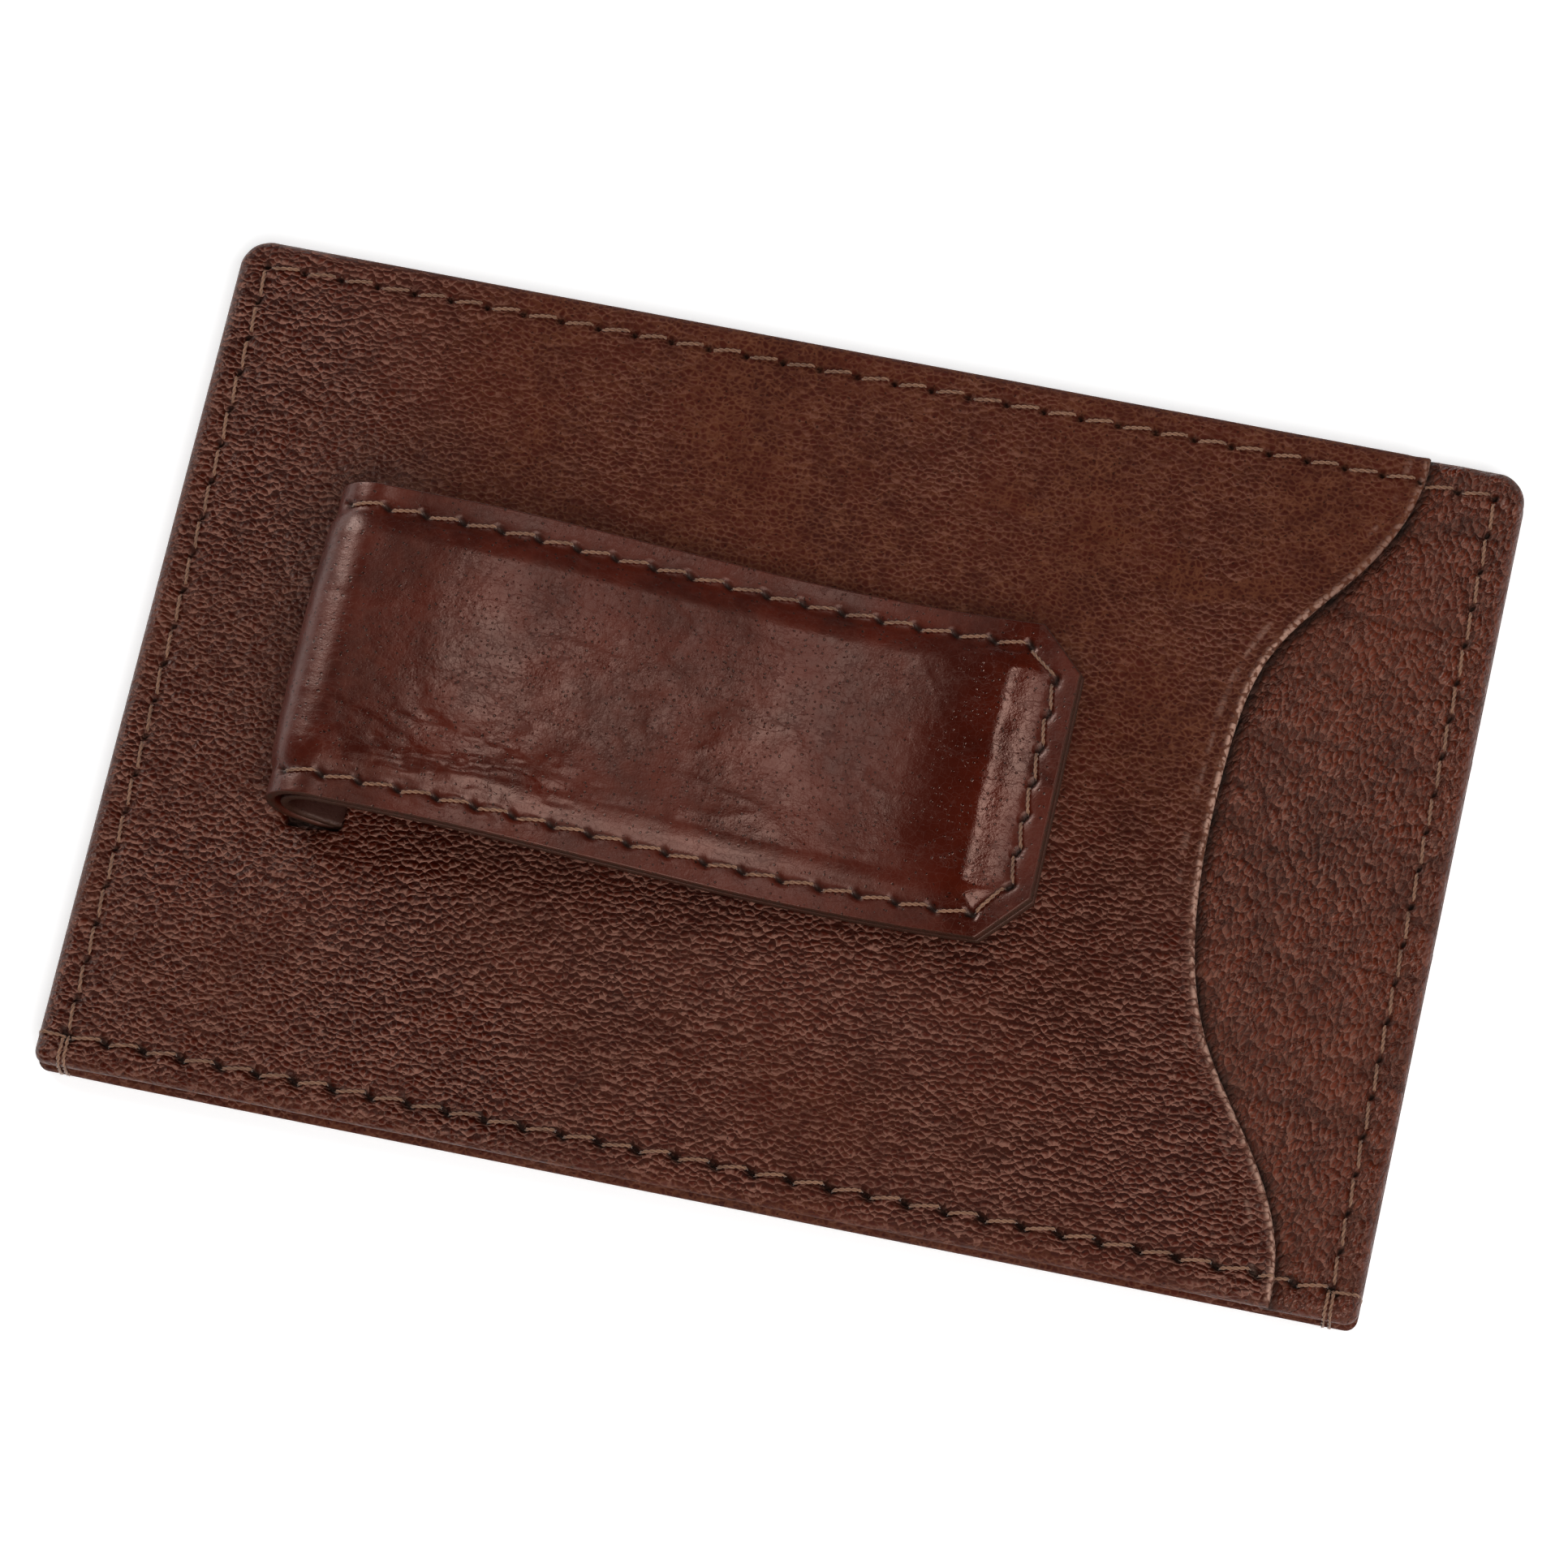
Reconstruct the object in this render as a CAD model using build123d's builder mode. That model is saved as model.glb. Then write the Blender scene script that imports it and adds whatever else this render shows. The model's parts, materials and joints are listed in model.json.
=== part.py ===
"""Slim leather card case with a wave-cut pocket and a leather-covered spring money clip.

The case lies flat with its clip side up. +X runs along the long side, from the clip's
bend towards its tip. +Y runs from the open mouth to the closed long edge. The origin is
under the middle of the case, on the surface that it lies on. Sizes are in millimetres.
"""
from build123d import *
from math import cos, radians, sin
import os

os.makedirs("parts", exist_ok=True)

# Outer size of the case, and how far the corner tacks' thread stands out of its edges
LENGTH = 104.0
WIDTH = 70.0
THREAD = 0.2
EDGE_X = LENGTH / 2 - THREAD
MOUTH_Y = -(WIDTH / 2 - THREAD)
TOP_Y = WIDTH / 2
CORNER_R = 2.4

# Layers of the front, from the face that the case lies on upwards
SLOT_LEATHER = 0.45
UPPER_SLOT_Z = SLOT_LEATHER
FRONT_Z = 2 * SLOT_LEATHER
FRONT_LINING_Z = 3 * SLOT_LEATHER
LINING = 0.15
LOWER_SLOT_TOP_Y = -4.0
UPPER_SLOT_TOP_Y = 12.0
SLOT_OVERLAP = 9.0
SLOT_STEP = 1.6
STEP_GAP = 0.1
BACKING = 0.2

# Layers of the back, from the middle pocket upwards
BACK_Z = 1.9
STIFFENER_Z = BACK_Z + LINING
BACK_LEATHER_Z = 2.4
POCKET_LINING_Z = 3.0
POCKET_LINING_INSET = 4.0
POCKET_Z = 3.2
RIM_Z = 3.9
POCKET_LEATHER = RIM_Z - POCKET_Z
HEM = 5.0
ROLL_R = 0.28
SWELL_ROOT = 0.02

# Seam
SEAM_INSET = 2.3
SEAM_X = EDGE_X - SEAM_INSET
SEAM_TOP_Y = TOP_Y - SEAM_INSET
SEAM_LOW_Y = MOUTH_Y + SEAM_INSET
STITCH = 2.35
STITCH_W = 0.5
STITCH_SLANT = 7.0
TOP_STITCHES = 33
SIDE_STITCHES = 21
GROOVE_W = 0.9
GROOVE_D = THREAD
TACK_PITCH = 0.65
TACK_W = 0.4

# Money clip: one steel band, folded over at the left, in a leather cover
CLIP_Y = 0.8
CLIP_W = 26.0
CLIP_LEFT = -38.7
CLIP_RIGHT = 21.4
TIP_CHAMFER = 3.7
CLIP_SEAM = 1.9
LONG_STITCHES = 17
TIP_STITCHES = 6
LEAF = 0.5
LEAF_INSET = 3.4
PLATEAU_INSET = 3.0
PAD = 0.3
COVER = 0.9
RIM_DROP = 0.8
BEND_COVER = COVER + PAD
BEND_INNER = 0.7
LEG_COVER = 0.6
LEG_Z = POCKET_Z + LEG_COVER
LEG_END = 16.0
BEND_R = 3.3
LOOP_TOP = 11.2
BEND_SWEEP = 155.0
CORNER_BEND_R = 2.0
HUMP_FLAT = 4.4
HUMP_R = 60.0
ARM_SLOPE = 9.5
FLARE_R = 65.0
SWELL_Z = 5.2
ARM_CLEARANCE = 0.3
PATCH = 0.2
PATCH_LEFT = -30.0
PATCH_RIGHT = 15.0

# The pocket panel's slit for the leg, and the foot and the flat top of its swell over
# the leg, each as its left end, its right end and its half width
SLIT = (-36.9, -32.4)
SWELL_FOOT = (-35.5, 29.0, 24.0)
SWELL_HEAD = (-32.4, 18.0, 15.0)
SWELL_CORNER_R = 6.0

# Bend centre, which is also the axis that the arm swings about
BEND_X = CLIP_LEFT + BEND_COVER + BEND_R
BEND_Z = LOOP_TOP - BEND_R
UNDER = LEAF + COVER
CONTACT_Z = SWELL_Z + ARM_CLEARANCE + UNDER

# Wave-cut edge of the pocket, from the mouth to the closed long edge
WAVE = [
    (44.9, -36.0),
    (44.5, -29.5),
    (41.8, -23.8),
    (36.1, -14.9),
    (33.5, -5.0),
    (33.3, 7.0),
    (35.0, 16.3),
    (41.0, 25.1),
    (43.6, 31.0),
    (43.9, 36.0),
]


def case_outline(inset):
    """The case's outline, with two rounded corners at the closed long edge."""
    with BuildSketch() as outline:
        with Locations((0, (MOUTH_Y + TOP_Y) / 2)):
            Rectangle(2 * (EDGE_X - inset), TOP_Y - MOUTH_Y - 2 * inset)
        corners = outline.vertices().group_by(Axis.Y)[-1]
        fillet(corners, CORNER_R)
    return outline.sketch


def wave_side(inset):
    """Everything to the left of the wave-cut edge, less a margin along it."""
    with BuildSketch() as side:
        with BuildLine():
            wave = Spline([(x - inset, y) for x, y in WAVE])
            Polyline(wave @ 1, (-LENGTH, WAVE[-1][1]), (-LENGTH, WAVE[0][1]), wave @ 0)
        make_face()
    return side.sketch


def stitch_line():
    """The pressed groove that the stitches lie in on the front."""
    with BuildSketch() as groove:
        with Locations((0, (SEAM_TOP_Y + SEAM_LOW_Y) / 2)):
            Rectangle(2 * SEAM_X + GROOVE_W, SEAM_TOP_Y - SEAM_LOW_Y + GROOVE_W)
            Rectangle(
                2 * SEAM_X - GROOVE_W,
                SEAM_TOP_Y - SEAM_LOW_Y - GROOVE_W,
                mode=Mode.SUBTRACT,
            )
        with Locations((-SEAM_X, MOUTH_Y), (SEAM_X, MOUTH_Y)):
            Rectangle(4 * TACK_PITCH, 2 * SEAM_INSET)
        with Locations((-EDGE_X, SEAM_LOW_Y), (EDGE_X, SEAM_LOW_Y)):
            Rectangle(2 * SEAM_INSET, 2 * TACK_PITCH)
    return groove.sketch


def stepped_profile(low_y, top_y, tuck_z):
    """Side view of a front layer: flush below top_y, then tucked up behind the next one."""
    with BuildSketch(Plane.YZ) as profile:
        with BuildLine():
            Polyline(
                (top_y, 0),
                (low_y, 0),
                (low_y - SLOT_STEP, tuck_z),
                (low_y - SLOT_OVERLAP, tuck_z),
                (low_y - SLOT_OVERLAP, tuck_z + SLOT_LEATHER),
                (low_y - SLOT_STEP / 2, tuck_z + SLOT_LEATHER),
                (low_y + SLOT_STEP / 2, SLOT_LEATHER),
                (top_y, SLOT_LEATHER),
                close=True,
            )
        make_face()
    return profile.sketch


def stitch_row(points, slant):
    """Flat outline of one row of stitches."""
    with BuildSketch() as row:
        with Locations(*points):
            SlotOverall(STITCH, STITCH_W, rotation=slant)
    return row.sketch


def spread(start, end, count):
    """Middles of equal stitches between the first and the last needle hole."""
    pitch = (end - start) / count
    return [start + pitch * (i + 0.5) for i in range(count)]


def seam_edge(name, points, slant):
    """Stitches of one edge: proud of the back, and in the pressed groove of the front."""
    pocket_edge = WAVE[0][0] + STITCH / 2 + THREAD
    rows = [
        (RIM_Z, slant, [p for p in points if p[0] < pocket_edge]),
        (POCKET_LINING_Z, slant, [p for p in points if p[0] >= pocket_edge]),
    ]
    if name != "back_mouth_stitching":
        rows.append((0, -slant, points))
    with BuildPart() as edge:
        for level, row_slant, row_points in rows:
            if row_points:
                with BuildSketch(Plane.XY.offset(level)):
                    add(stitch_row(row_points, row_slant))
                extrude(amount=THREAD)
    return edge.part


def arm_line(depth):
    """Arm's side view at a depth under the steel's top face, from the bend to past the tip."""
    slope = radians(ARM_SLOPE)
    drop = LOOP_TOP - CONTACT_Z - (HUMP_R + FLARE_R) * (1 - cos(slope))
    start = (BEND_X, LOOP_TOP - depth)
    hump = Line(start, (BEND_X + HUMP_FLAT, LOOP_TOP - depth))
    over = JernArc(hump @ 1, hump % 1, HUMP_R - depth, -ARM_SLOPE)
    down = PolarLine(over @ 1, drop / sin(slope), -ARM_SLOPE)
    return JernArc(down @ 1, down % 1, FLARE_R + depth, 3 * ARM_SLOPE)


def arm_profile(top, bottom):
    """Side view of one layer of the arm, between two depths."""
    with BuildSketch(Plane.XZ.offset(-CLIP_Y)) as profile:
        with BuildLine():
            upper = arm_line(top)
            lower = arm_line(bottom)
            Line(upper @ 1, lower @ 1)
            Line((BEND_X, LOOP_TOP - top), (BEND_X, LOOP_TOP - bottom))
        make_face()
    return profile.sketch


def arm_outline(inset):
    """The arm's outline from above, with a chamfered tip."""
    left = BEND_X - CLIP_W
    with BuildSketch() as outline:
        with Locations(((left + CLIP_RIGHT - inset) / 2, CLIP_Y)):
            Rectangle(CLIP_RIGHT - inset - left, CLIP_W - 2 * inset)
        chamfer(outline.vertices().group_by(Axis.X)[-1], TIP_CHAMFER - inset / 2)
    return outline.sketch


def arm_layer(top, bottom, outline):
    """One layer of the arm, cut to an outline."""
    with BuildPart() as layer:
        extrude(arm_profile(top, bottom), amount=CLIP_W, both=True)
        extrude(outline, amount=2 * LOOP_TOP, mode=Mode.INTERSECT)
    return layer.part


def ring_profile(outer, inner):
    """Side view of one layer of the bend, between two radii."""
    with BuildSketch(Plane.XZ.offset(-CLIP_Y)) as profile:
        with BuildLine():
            far = CenterArc((BEND_X, BEND_Z), outer, 90, BEND_SWEEP)
            near = CenterArc((BEND_X, BEND_Z), inner, 90, BEND_SWEEP)
            Line(far @ 0, near @ 0)
            Line(far @ 1, near @ 1)
        make_face()
    return profile.sketch


def leg_line(depth, start_depth):
    """Leg's side view at a depth inside the steel's outer face, from the bend to its end."""
    end = radians(90 + BEND_SWEEP)
    radius = BEND_R - start_depth
    start = (BEND_X + radius * cos(end), BEND_Z + radius * sin(end))
    dive = 180 - BEND_SWEEP
    corner_r = CORNER_BEND_R - depth
    level = LEG_Z + depth
    corner_top = level + corner_r * (1 - cos(radians(dive)))
    fall = (start[1] - corner_top) / sin(radians(dive))
    slant = PolarLine(start, fall, -dive)
    turn = JernArc(slant @ 1, slant % 1, corner_r, dive)
    run = Line(turn @ 1, (LEG_END, level))
    return slant @ 0, run @ 1


def leg_profile(outer, inner, start_outer, start_inner):
    """Side view of one layer of the leg, which may be thicker where it leaves the bend."""
    with BuildSketch(Plane.XZ.offset(-CLIP_Y)) as profile:
        with BuildLine():
            outer_ends = leg_line(outer, start_outer)
            inner_ends = leg_line(inner, start_inner)
            Line(outer_ends[0], inner_ends[0])
            Line(outer_ends[1], inner_ends[1])
        make_face()
    return profile.sketch


def save(part, name):
    part.label = name
    export_step(part, f"parts/{name}.step")


# ---------------------------------------------------------------- front of the case

groove = stitch_line()
outline = case_outline(0)

# Lowest card slot: a plain leather panel, sewn in along three sides
with BuildPart() as front_lower_slot_panel:
    with BuildSketch():
        with Locations((0, (MOUTH_Y + LOWER_SLOT_TOP_Y) / 2)):
            Rectangle(2 * EDGE_X, LOWER_SLOT_TOP_Y - MOUTH_Y)
    extrude(amount=SLOT_LEATHER - STEP_GAP)
    fillet(front_lower_slot_panel.edges().group_by(Axis.Y)[-1].filter_by(Axis.X), SLOT_LEATHER / 4)
    extrude(groove, amount=GROOVE_D, mode=Mode.SUBTRACT)
save(front_lower_slot_panel.part, "front_lower_slot_panel")

# Upper card slot: its lower edge is tucked behind the lowest slot's top edge
upper_slot_low = LOWER_SLOT_TOP_Y + SLOT_STEP
with BuildPart() as front_upper_slot_panel:
    extrude(stepped_profile(upper_slot_low, UPPER_SLOT_TOP_Y, UPPER_SLOT_Z), amount=EDGE_X, both=True)
    extrude(groove, amount=GROOVE_D, mode=Mode.SUBTRACT)
save(front_upper_slot_panel.part, "front_upper_slot_panel")

# Fabric that carries the upper slot down to the mouth seam
with BuildPart() as front_slot_backing:
    with BuildSketch(Plane.XY.offset(UPPER_SLOT_Z)):
        backing_top = upper_slot_low - SLOT_OVERLAP
        with Locations((0, (MOUTH_Y + 1 + backing_top) / 2)):
            Rectangle(2 * (EDGE_X - 1), backing_top - MOUTH_Y - 1)
    extrude(amount=BACKING)
save(front_slot_backing.part, "front_slot_backing")

# Front base panel: full size, with its edges turned in along the three closed sides
base_low = UPPER_SLOT_TOP_Y + SLOT_STEP
with BuildPart() as front_base_panel:
    extrude(stepped_profile(base_low, TOP_Y, FRONT_Z), amount=EDGE_X, both=True)
    with BuildSketch(Plane.XY.offset(FRONT_Z)):
        with Locations((0, (MOUTH_Y + base_low - SLOT_STEP) / 2)):
            Rectangle(2 * EDGE_X, base_low - SLOT_STEP - MOUTH_Y)
    extrude(amount=SLOT_LEATHER)
    with BuildSketch(Plane.XY.offset(FRONT_Z)):
        add(outline)
        with Locations((0, (MOUTH_Y + TOP_Y) / 2 - HEM)):
            Rectangle(2 * (EDGE_X - HEM), TOP_Y - MOUTH_Y, mode=Mode.SUBTRACT)
    extrude(amount=BACK_Z - FRONT_Z)
    with BuildSketch(Plane.XY.offset(SLOT_LEATHER)):
        with Locations((0, (TOP_Y + base_low + SLOT_STEP) / 2)):
            Rectangle(2 * EDGE_X, TOP_Y - base_low - SLOT_STEP)
        with Locations((0, (TOP_Y + base_low + SLOT_STEP) / 2 - HEM)):
            Rectangle(2 * (EDGE_X - HEM), TOP_Y - base_low - SLOT_STEP, mode=Mode.SUBTRACT)
    extrude(amount=FRONT_Z - SLOT_LEATHER)
    extrude(outline, amount=BACK_Z, mode=Mode.INTERSECT)
    extrude(groove, amount=GROOVE_D, mode=Mode.SUBTRACT)
    roll = front_base_panel.edges().filter_by_position(Axis.Z, 0, 0).group_by(Axis.Y)[-1]
    fillet(roll, ROLL_R)
save(front_base_panel.part, "front_base_panel")

# Thin lining on the front side of the middle pocket
with BuildPart() as front_lining:
    with BuildSketch(Plane.XY.offset(FRONT_LINING_Z)):
        with Locations((0, (MOUTH_Y + TOP_Y - HEM) / 2 + 1)):
            Rectangle(2 * (EDGE_X - HEM), TOP_Y - MOUTH_Y - HEM - 2)
    extrude(amount=LINING)
save(front_lining.part, "front_lining")

# Tape that stiffens the front's turned edge along the mouth, between the closed sides
with BuildPart() as mouth_tape:
    with BuildSketch(Plane.XY.offset(FRONT_LINING_Z)):
        with Locations((0, MOUTH_Y + 0.5)):
            Rectangle(2 * (EDGE_X - HEM), 1.0)
    extrude(amount=LINING)
save(mouth_tape.part, "mouth_tape")

# ---------------------------------------------------------------- back of the case

# Back base panel: full size, all four edges turned in
with BuildPart() as back_base_panel:
    with BuildSketch(Plane.XY.offset(BACK_LEATHER_Z)):
        add(outline)
    extrude(amount=POCKET_LINING_Z - BACK_LEATHER_Z)
    with BuildSketch(Plane.XY.offset(BACK_Z)):
        add(outline)
        add(case_outline(HEM), mode=Mode.SUBTRACT)
    extrude(amount=BACK_LEATHER_Z - BACK_Z)
    right_edge = back_base_panel.edges().filter_by(Axis.Y).group_by(Axis.X)[-1]
    fillet(right_edge, ROLL_R)
save(back_base_panel.part, "back_base_panel")

# Thin lining on the back side of the middle pocket, and the board behind it
for name, level, height in (
    ("back_lining", BACK_Z, LINING),
    ("back_stiffener", STIFFENER_Z, BACK_LEATHER_Z - STIFFENER_Z),
):
    with BuildPart() as sheet:
        with BuildSketch(Plane.XY.offset(level)):
            add(case_outline(HEM))
        extrude(amount=height)
    save(sheet.part, name)

# Lining of the wave-cut pocket, which stops short of the wave
with BuildPart() as pocket_lining:
    with BuildSketch(Plane.XY.offset(POCKET_LINING_Z)):
        add(case_outline(1))
        add(wave_side(POCKET_LINING_INSET), mode=Mode.INTERSECT)
    extrude(amount=POCKET_Z - POCKET_LINING_Z)
save(pocket_lining.part, "pocket_lining")



def swell(foot_z, head_z, thin):
    """Raised middle of the pocket panel, from its foot to its flat top."""
    levels = []
    for (left, right, half), level in ((SWELL_FOOT, foot_z), (SWELL_HEAD, head_z)):
        with BuildSketch(Plane.XY.offset(level)) as section:
            with Locations(((left + right) / 2, CLIP_Y)):
                RectangleRounded(right - left - 2 * thin, 2 * (half - thin), SWELL_CORNER_R)
        levels.append(section.sketch)
    with BuildPart() as mound:
        loft(levels)
    return mound.part


# Wave-cut pocket panel: it swells over the clip's leg, which enters it through a slit
swell_outside = swell(RIM_Z - SWELL_ROOT, SWELL_Z, 0)
swell_inside = swell(POCKET_Z, SWELL_Z - POCKET_LEATHER, 0.2)
with BuildPart() as back_pocket_panel:
    with BuildSketch(Plane.XY.offset(POCKET_Z)):
        add(outline)
        add(wave_side(0), mode=Mode.INTERSECT)
    extrude(amount=POCKET_LEATHER)
    closed_edges = back_pocket_panel.edges().group_by(Axis.Z)[-1].filter_by(Axis.Y)
    fillet(closed_edges.group_by(Axis.X)[0], ROLL_R)
    add(swell_outside)
    add(swell_inside, mode=Mode.SUBTRACT)
    with BuildSketch(Plane.XY.offset(POCKET_Z)):
        with Locations(((SLIT[0] + SLIT[1]) / 2, CLIP_Y)):
            Rectangle(SLIT[1] - SLIT[0], CLIP_W + 2 * THREAD)
    extrude(amount=LOOP_TOP, mode=Mode.SUBTRACT)
save(back_pocket_panel.part, "back_pocket_panel")

# ---------------------------------------------------------------- money clip

half = CLIP_W / 2
leaf_half = half - LEAF_INSET
full_outline = arm_outline(0)
leaf_outline = arm_outline(LEAF_INSET)

# Steel band: leg in the case, bend, and leaf in the arm
with BuildPart() as clip_lower_leaf:
    extrude(leg_profile(0, LEAF, 0, LEAF), amount=leaf_half, both=True)
save(clip_lower_leaf.part, "clip_lower_leaf")

with BuildPart() as clip_spring_bend:
    extrude(ring_profile(BEND_R, BEND_R - LEAF), amount=leaf_half, both=True)
save(clip_spring_bend.part, "clip_spring_bend")

clip_upper_leaf = arm_layer(0, LEAF, leaf_outline)
save(clip_upper_leaf, "clip_upper_leaf")

# Leather cover of the leg and of the bend
with BuildPart() as clip_lower_cover:
    extrude(leg_profile(-LEG_COVER, 0, -BEND_COVER, 0), amount=half, both=True)
save(clip_lower_cover.part, "clip_lower_cover")

with BuildPart() as clip_bend_outer_cover:
    extrude(ring_profile(BEND_R + BEND_COVER, BEND_R), amount=half, both=True)
save(clip_bend_outer_cover.part, "clip_bend_outer_cover")

with BuildPart() as clip_bend_inner_cover:
    extrude(ring_profile(BEND_R, BEND_R - LEAF - BEND_INNER), amount=half, both=True)
    extrude(ring_profile(BEND_R, BEND_R - LEAF), amount=leaf_half, both=True, mode=Mode.SUBTRACT)
save(clip_bend_inner_cover.part, "clip_bend_inner_cover")

# Patch that is glued over the leg and holds it to the pocket's lining
with BuildPart() as clip_anchor_patch:
    with BuildSketch(Plane.XY.offset(LEG_Z + LEAF)):
        with Locations(((PATCH_LEFT + PATCH_RIGHT) / 2, CLIP_Y)):
            Rectangle(PATCH_RIGHT - PATCH_LEFT, CLIP_W)
    extrude(amount=PATCH - STEP_GAP)
save(clip_anchor_patch.part, "clip_anchor_patch")

# Arm: under cover, filler pad on the leaf, and top cover with its raised middle
save(arm_layer(LEAF, UNDER, full_outline), "clip_under_cover")
save(arm_layer(-PAD, 0, leaf_outline), "clip_filler_pad")

rim_layer = arm_layer(RIM_DROP - BEND_COVER, LEAF, full_outline)
raised_layer = arm_layer(-BEND_COVER, -PAD, arm_outline(PLATEAU_INSET))
leaf_space = arm_layer(-PAD, LEAF, leaf_outline)
with BuildPart() as clip_top_cover:
    add(rim_layer)
    add(raised_layer)
    add(leaf_space, mode=Mode.SUBTRACT)
save(clip_top_cover.part, "clip_top_cover")

# Stitching of the arm, on its top and under faces
seam_half = half - CLIP_SEAM
tip_half = half - TIP_CHAMFER
long_side = spread(BEND_X + THREAD, CLIP_RIGHT - TIP_CHAMFER, LONG_STITCHES)
chamfer_inset = (TIP_CHAMFER + CLIP_SEAM * 2**0.5) / 2
with BuildSketch() as arm_stitches:
    for side in (-1, 1):
        row = [(x, CLIP_Y + side * seam_half) for x in long_side]
        add(stitch_row(row, STITCH_SLANT))
        chamfer_point = (CLIP_RIGHT - chamfer_inset, CLIP_Y + side * (half - chamfer_inset))
        add(stitch_row([chamfer_point], -45 * side))
    tip_ys = spread(-tip_half, tip_half, TIP_STITCHES)
    tip_row = [(CLIP_RIGHT - CLIP_SEAM, CLIP_Y + y) for y in tip_ys]
    add(stitch_row(tip_row, 90 + STITCH_SLANT))
rim_depth = RIM_DROP - BEND_COVER
top_thread = arm_layer(rim_depth - THREAD, rim_depth, arm_stitches.sketch)
under_thread = arm_layer(UNDER, UNDER + THREAD, arm_stitches.sketch)
with BuildPart() as clip_stitching:
    add(top_thread)
    add(under_thread)
save(clip_stitching.part, "clip_stitching")

# ---------------------------------------------------------------- seams of the case

top_row = [(x, SEAM_TOP_Y) for x in spread(-SEAM_X, SEAM_X, TOP_STITCHES)]
low_row = [(x, SEAM_LOW_Y) for x in spread(-SEAM_X, SEAM_X, TOP_STITCHES)]
side_ys = spread(SEAM_LOW_Y, SEAM_TOP_Y, SIDE_STITCHES)
edges = {
    "top_edge_stitching": (top_row, STITCH_SLANT),
    "back_mouth_stitching": (low_row, STITCH_SLANT),
    "left_edge_stitching": ([(-SEAM_X, y) for y in side_ys], 90),
    "right_edge_stitching": ([(SEAM_X, y) for y in side_ys], 90),
}
for name, (points, slant) in edges.items():
    save(seam_edge(name, points, slant), name)

# The front's own mouth seam
with BuildPart() as front_mouth_stitching:
    extrude(stitch_row(low_row, -STITCH_SLANT), amount=THREAD)
save(front_mouth_stitching.part, "front_mouth_stitching")


def corner_tack(side, face_z):
    """Thread wrapped round the case at a mouth corner: two turns down, one turn sideways."""
    seam_x = side * SEAM_X
    edge_x = side * EDGE_X
    with BuildPart() as tack:
        for plane_x in (seam_x - TACK_PITCH / 2, seam_x + TACK_PITCH / 2):
            with BuildSketch(Plane.YZ.offset(plane_x)):
                with BuildLine():
                    Polyline(
                        (SEAM_LOW_Y - STITCH_W, face_z),
                        (MOUTH_Y, face_z),
                        (MOUTH_Y, 0),
                        (MOUTH_Y - THREAD, 0),
                        (MOUTH_Y - THREAD, face_z + THREAD),
                        (SEAM_LOW_Y - STITCH_W, face_z + THREAD),
                        close=True,
                    )
                make_face()
            extrude(amount=TACK_W / 2, both=True)
        with BuildSketch(Plane.XZ.offset(-SEAM_LOW_Y)):
            with BuildLine():
                Polyline(
                    (seam_x + side * STITCH_W, face_z),
                    (edge_x, face_z),
                    (edge_x, 0),
                    (edge_x + side * THREAD, 0),
                    (edge_x + side * THREAD, face_z + THREAD),
                    (seam_x + side * STITCH_W, face_z + THREAD),
                    close=True,
                )
            make_face()
        extrude(amount=TACK_W / 2, both=True)
    return tack.part


save(corner_tack(-1, RIM_Z), "mouth_tack_left")
save(corner_tack(1, POCKET_LINING_Z), "mouth_tack_right")
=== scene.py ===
"""Looks of a slim leather card case with a spring money clip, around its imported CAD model.

Lengths are millimetres until a mesh is made. +X runs from the clip's bend to its tip, +Y from
the open mouth to the closed long edge, and +Z up from the floor that the case lies on.
"""

import json
import math

import bpy
import numpy as np
from mathutils import Matrix, Vector


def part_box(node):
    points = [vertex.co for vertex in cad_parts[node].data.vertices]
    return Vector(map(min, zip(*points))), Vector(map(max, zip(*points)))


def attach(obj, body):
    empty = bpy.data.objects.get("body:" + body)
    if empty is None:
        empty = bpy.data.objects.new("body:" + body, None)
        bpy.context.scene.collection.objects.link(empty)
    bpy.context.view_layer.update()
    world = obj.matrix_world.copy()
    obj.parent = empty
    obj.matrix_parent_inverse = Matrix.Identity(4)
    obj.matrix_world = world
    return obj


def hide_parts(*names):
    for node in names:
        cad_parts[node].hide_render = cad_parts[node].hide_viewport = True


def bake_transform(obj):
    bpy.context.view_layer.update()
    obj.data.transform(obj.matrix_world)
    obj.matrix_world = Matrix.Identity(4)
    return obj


MM = 0.001
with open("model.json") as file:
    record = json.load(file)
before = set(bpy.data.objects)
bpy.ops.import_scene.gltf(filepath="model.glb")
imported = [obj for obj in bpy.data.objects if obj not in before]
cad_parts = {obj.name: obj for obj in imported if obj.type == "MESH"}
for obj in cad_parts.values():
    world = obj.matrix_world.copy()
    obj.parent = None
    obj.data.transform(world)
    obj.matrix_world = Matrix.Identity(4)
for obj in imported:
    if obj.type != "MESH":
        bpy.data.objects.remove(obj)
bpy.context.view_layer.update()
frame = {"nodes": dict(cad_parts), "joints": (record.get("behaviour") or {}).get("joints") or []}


def span(node):
    """A CAD node's lowest and highest corners."""
    low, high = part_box(node)
    return np.array(low) / MM, np.array(high) / MM


def cad_points(node):
    """A CAD node's vertices."""
    mesh = frame["nodes"][node].data
    points = np.empty(len(mesh.vertices) * 3, np.float32)
    mesh.vertices.foreach_get("co", points)
    return points.reshape(-1, 3) / MM


# ---- sizes, from the CAD model where it holds them

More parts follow.
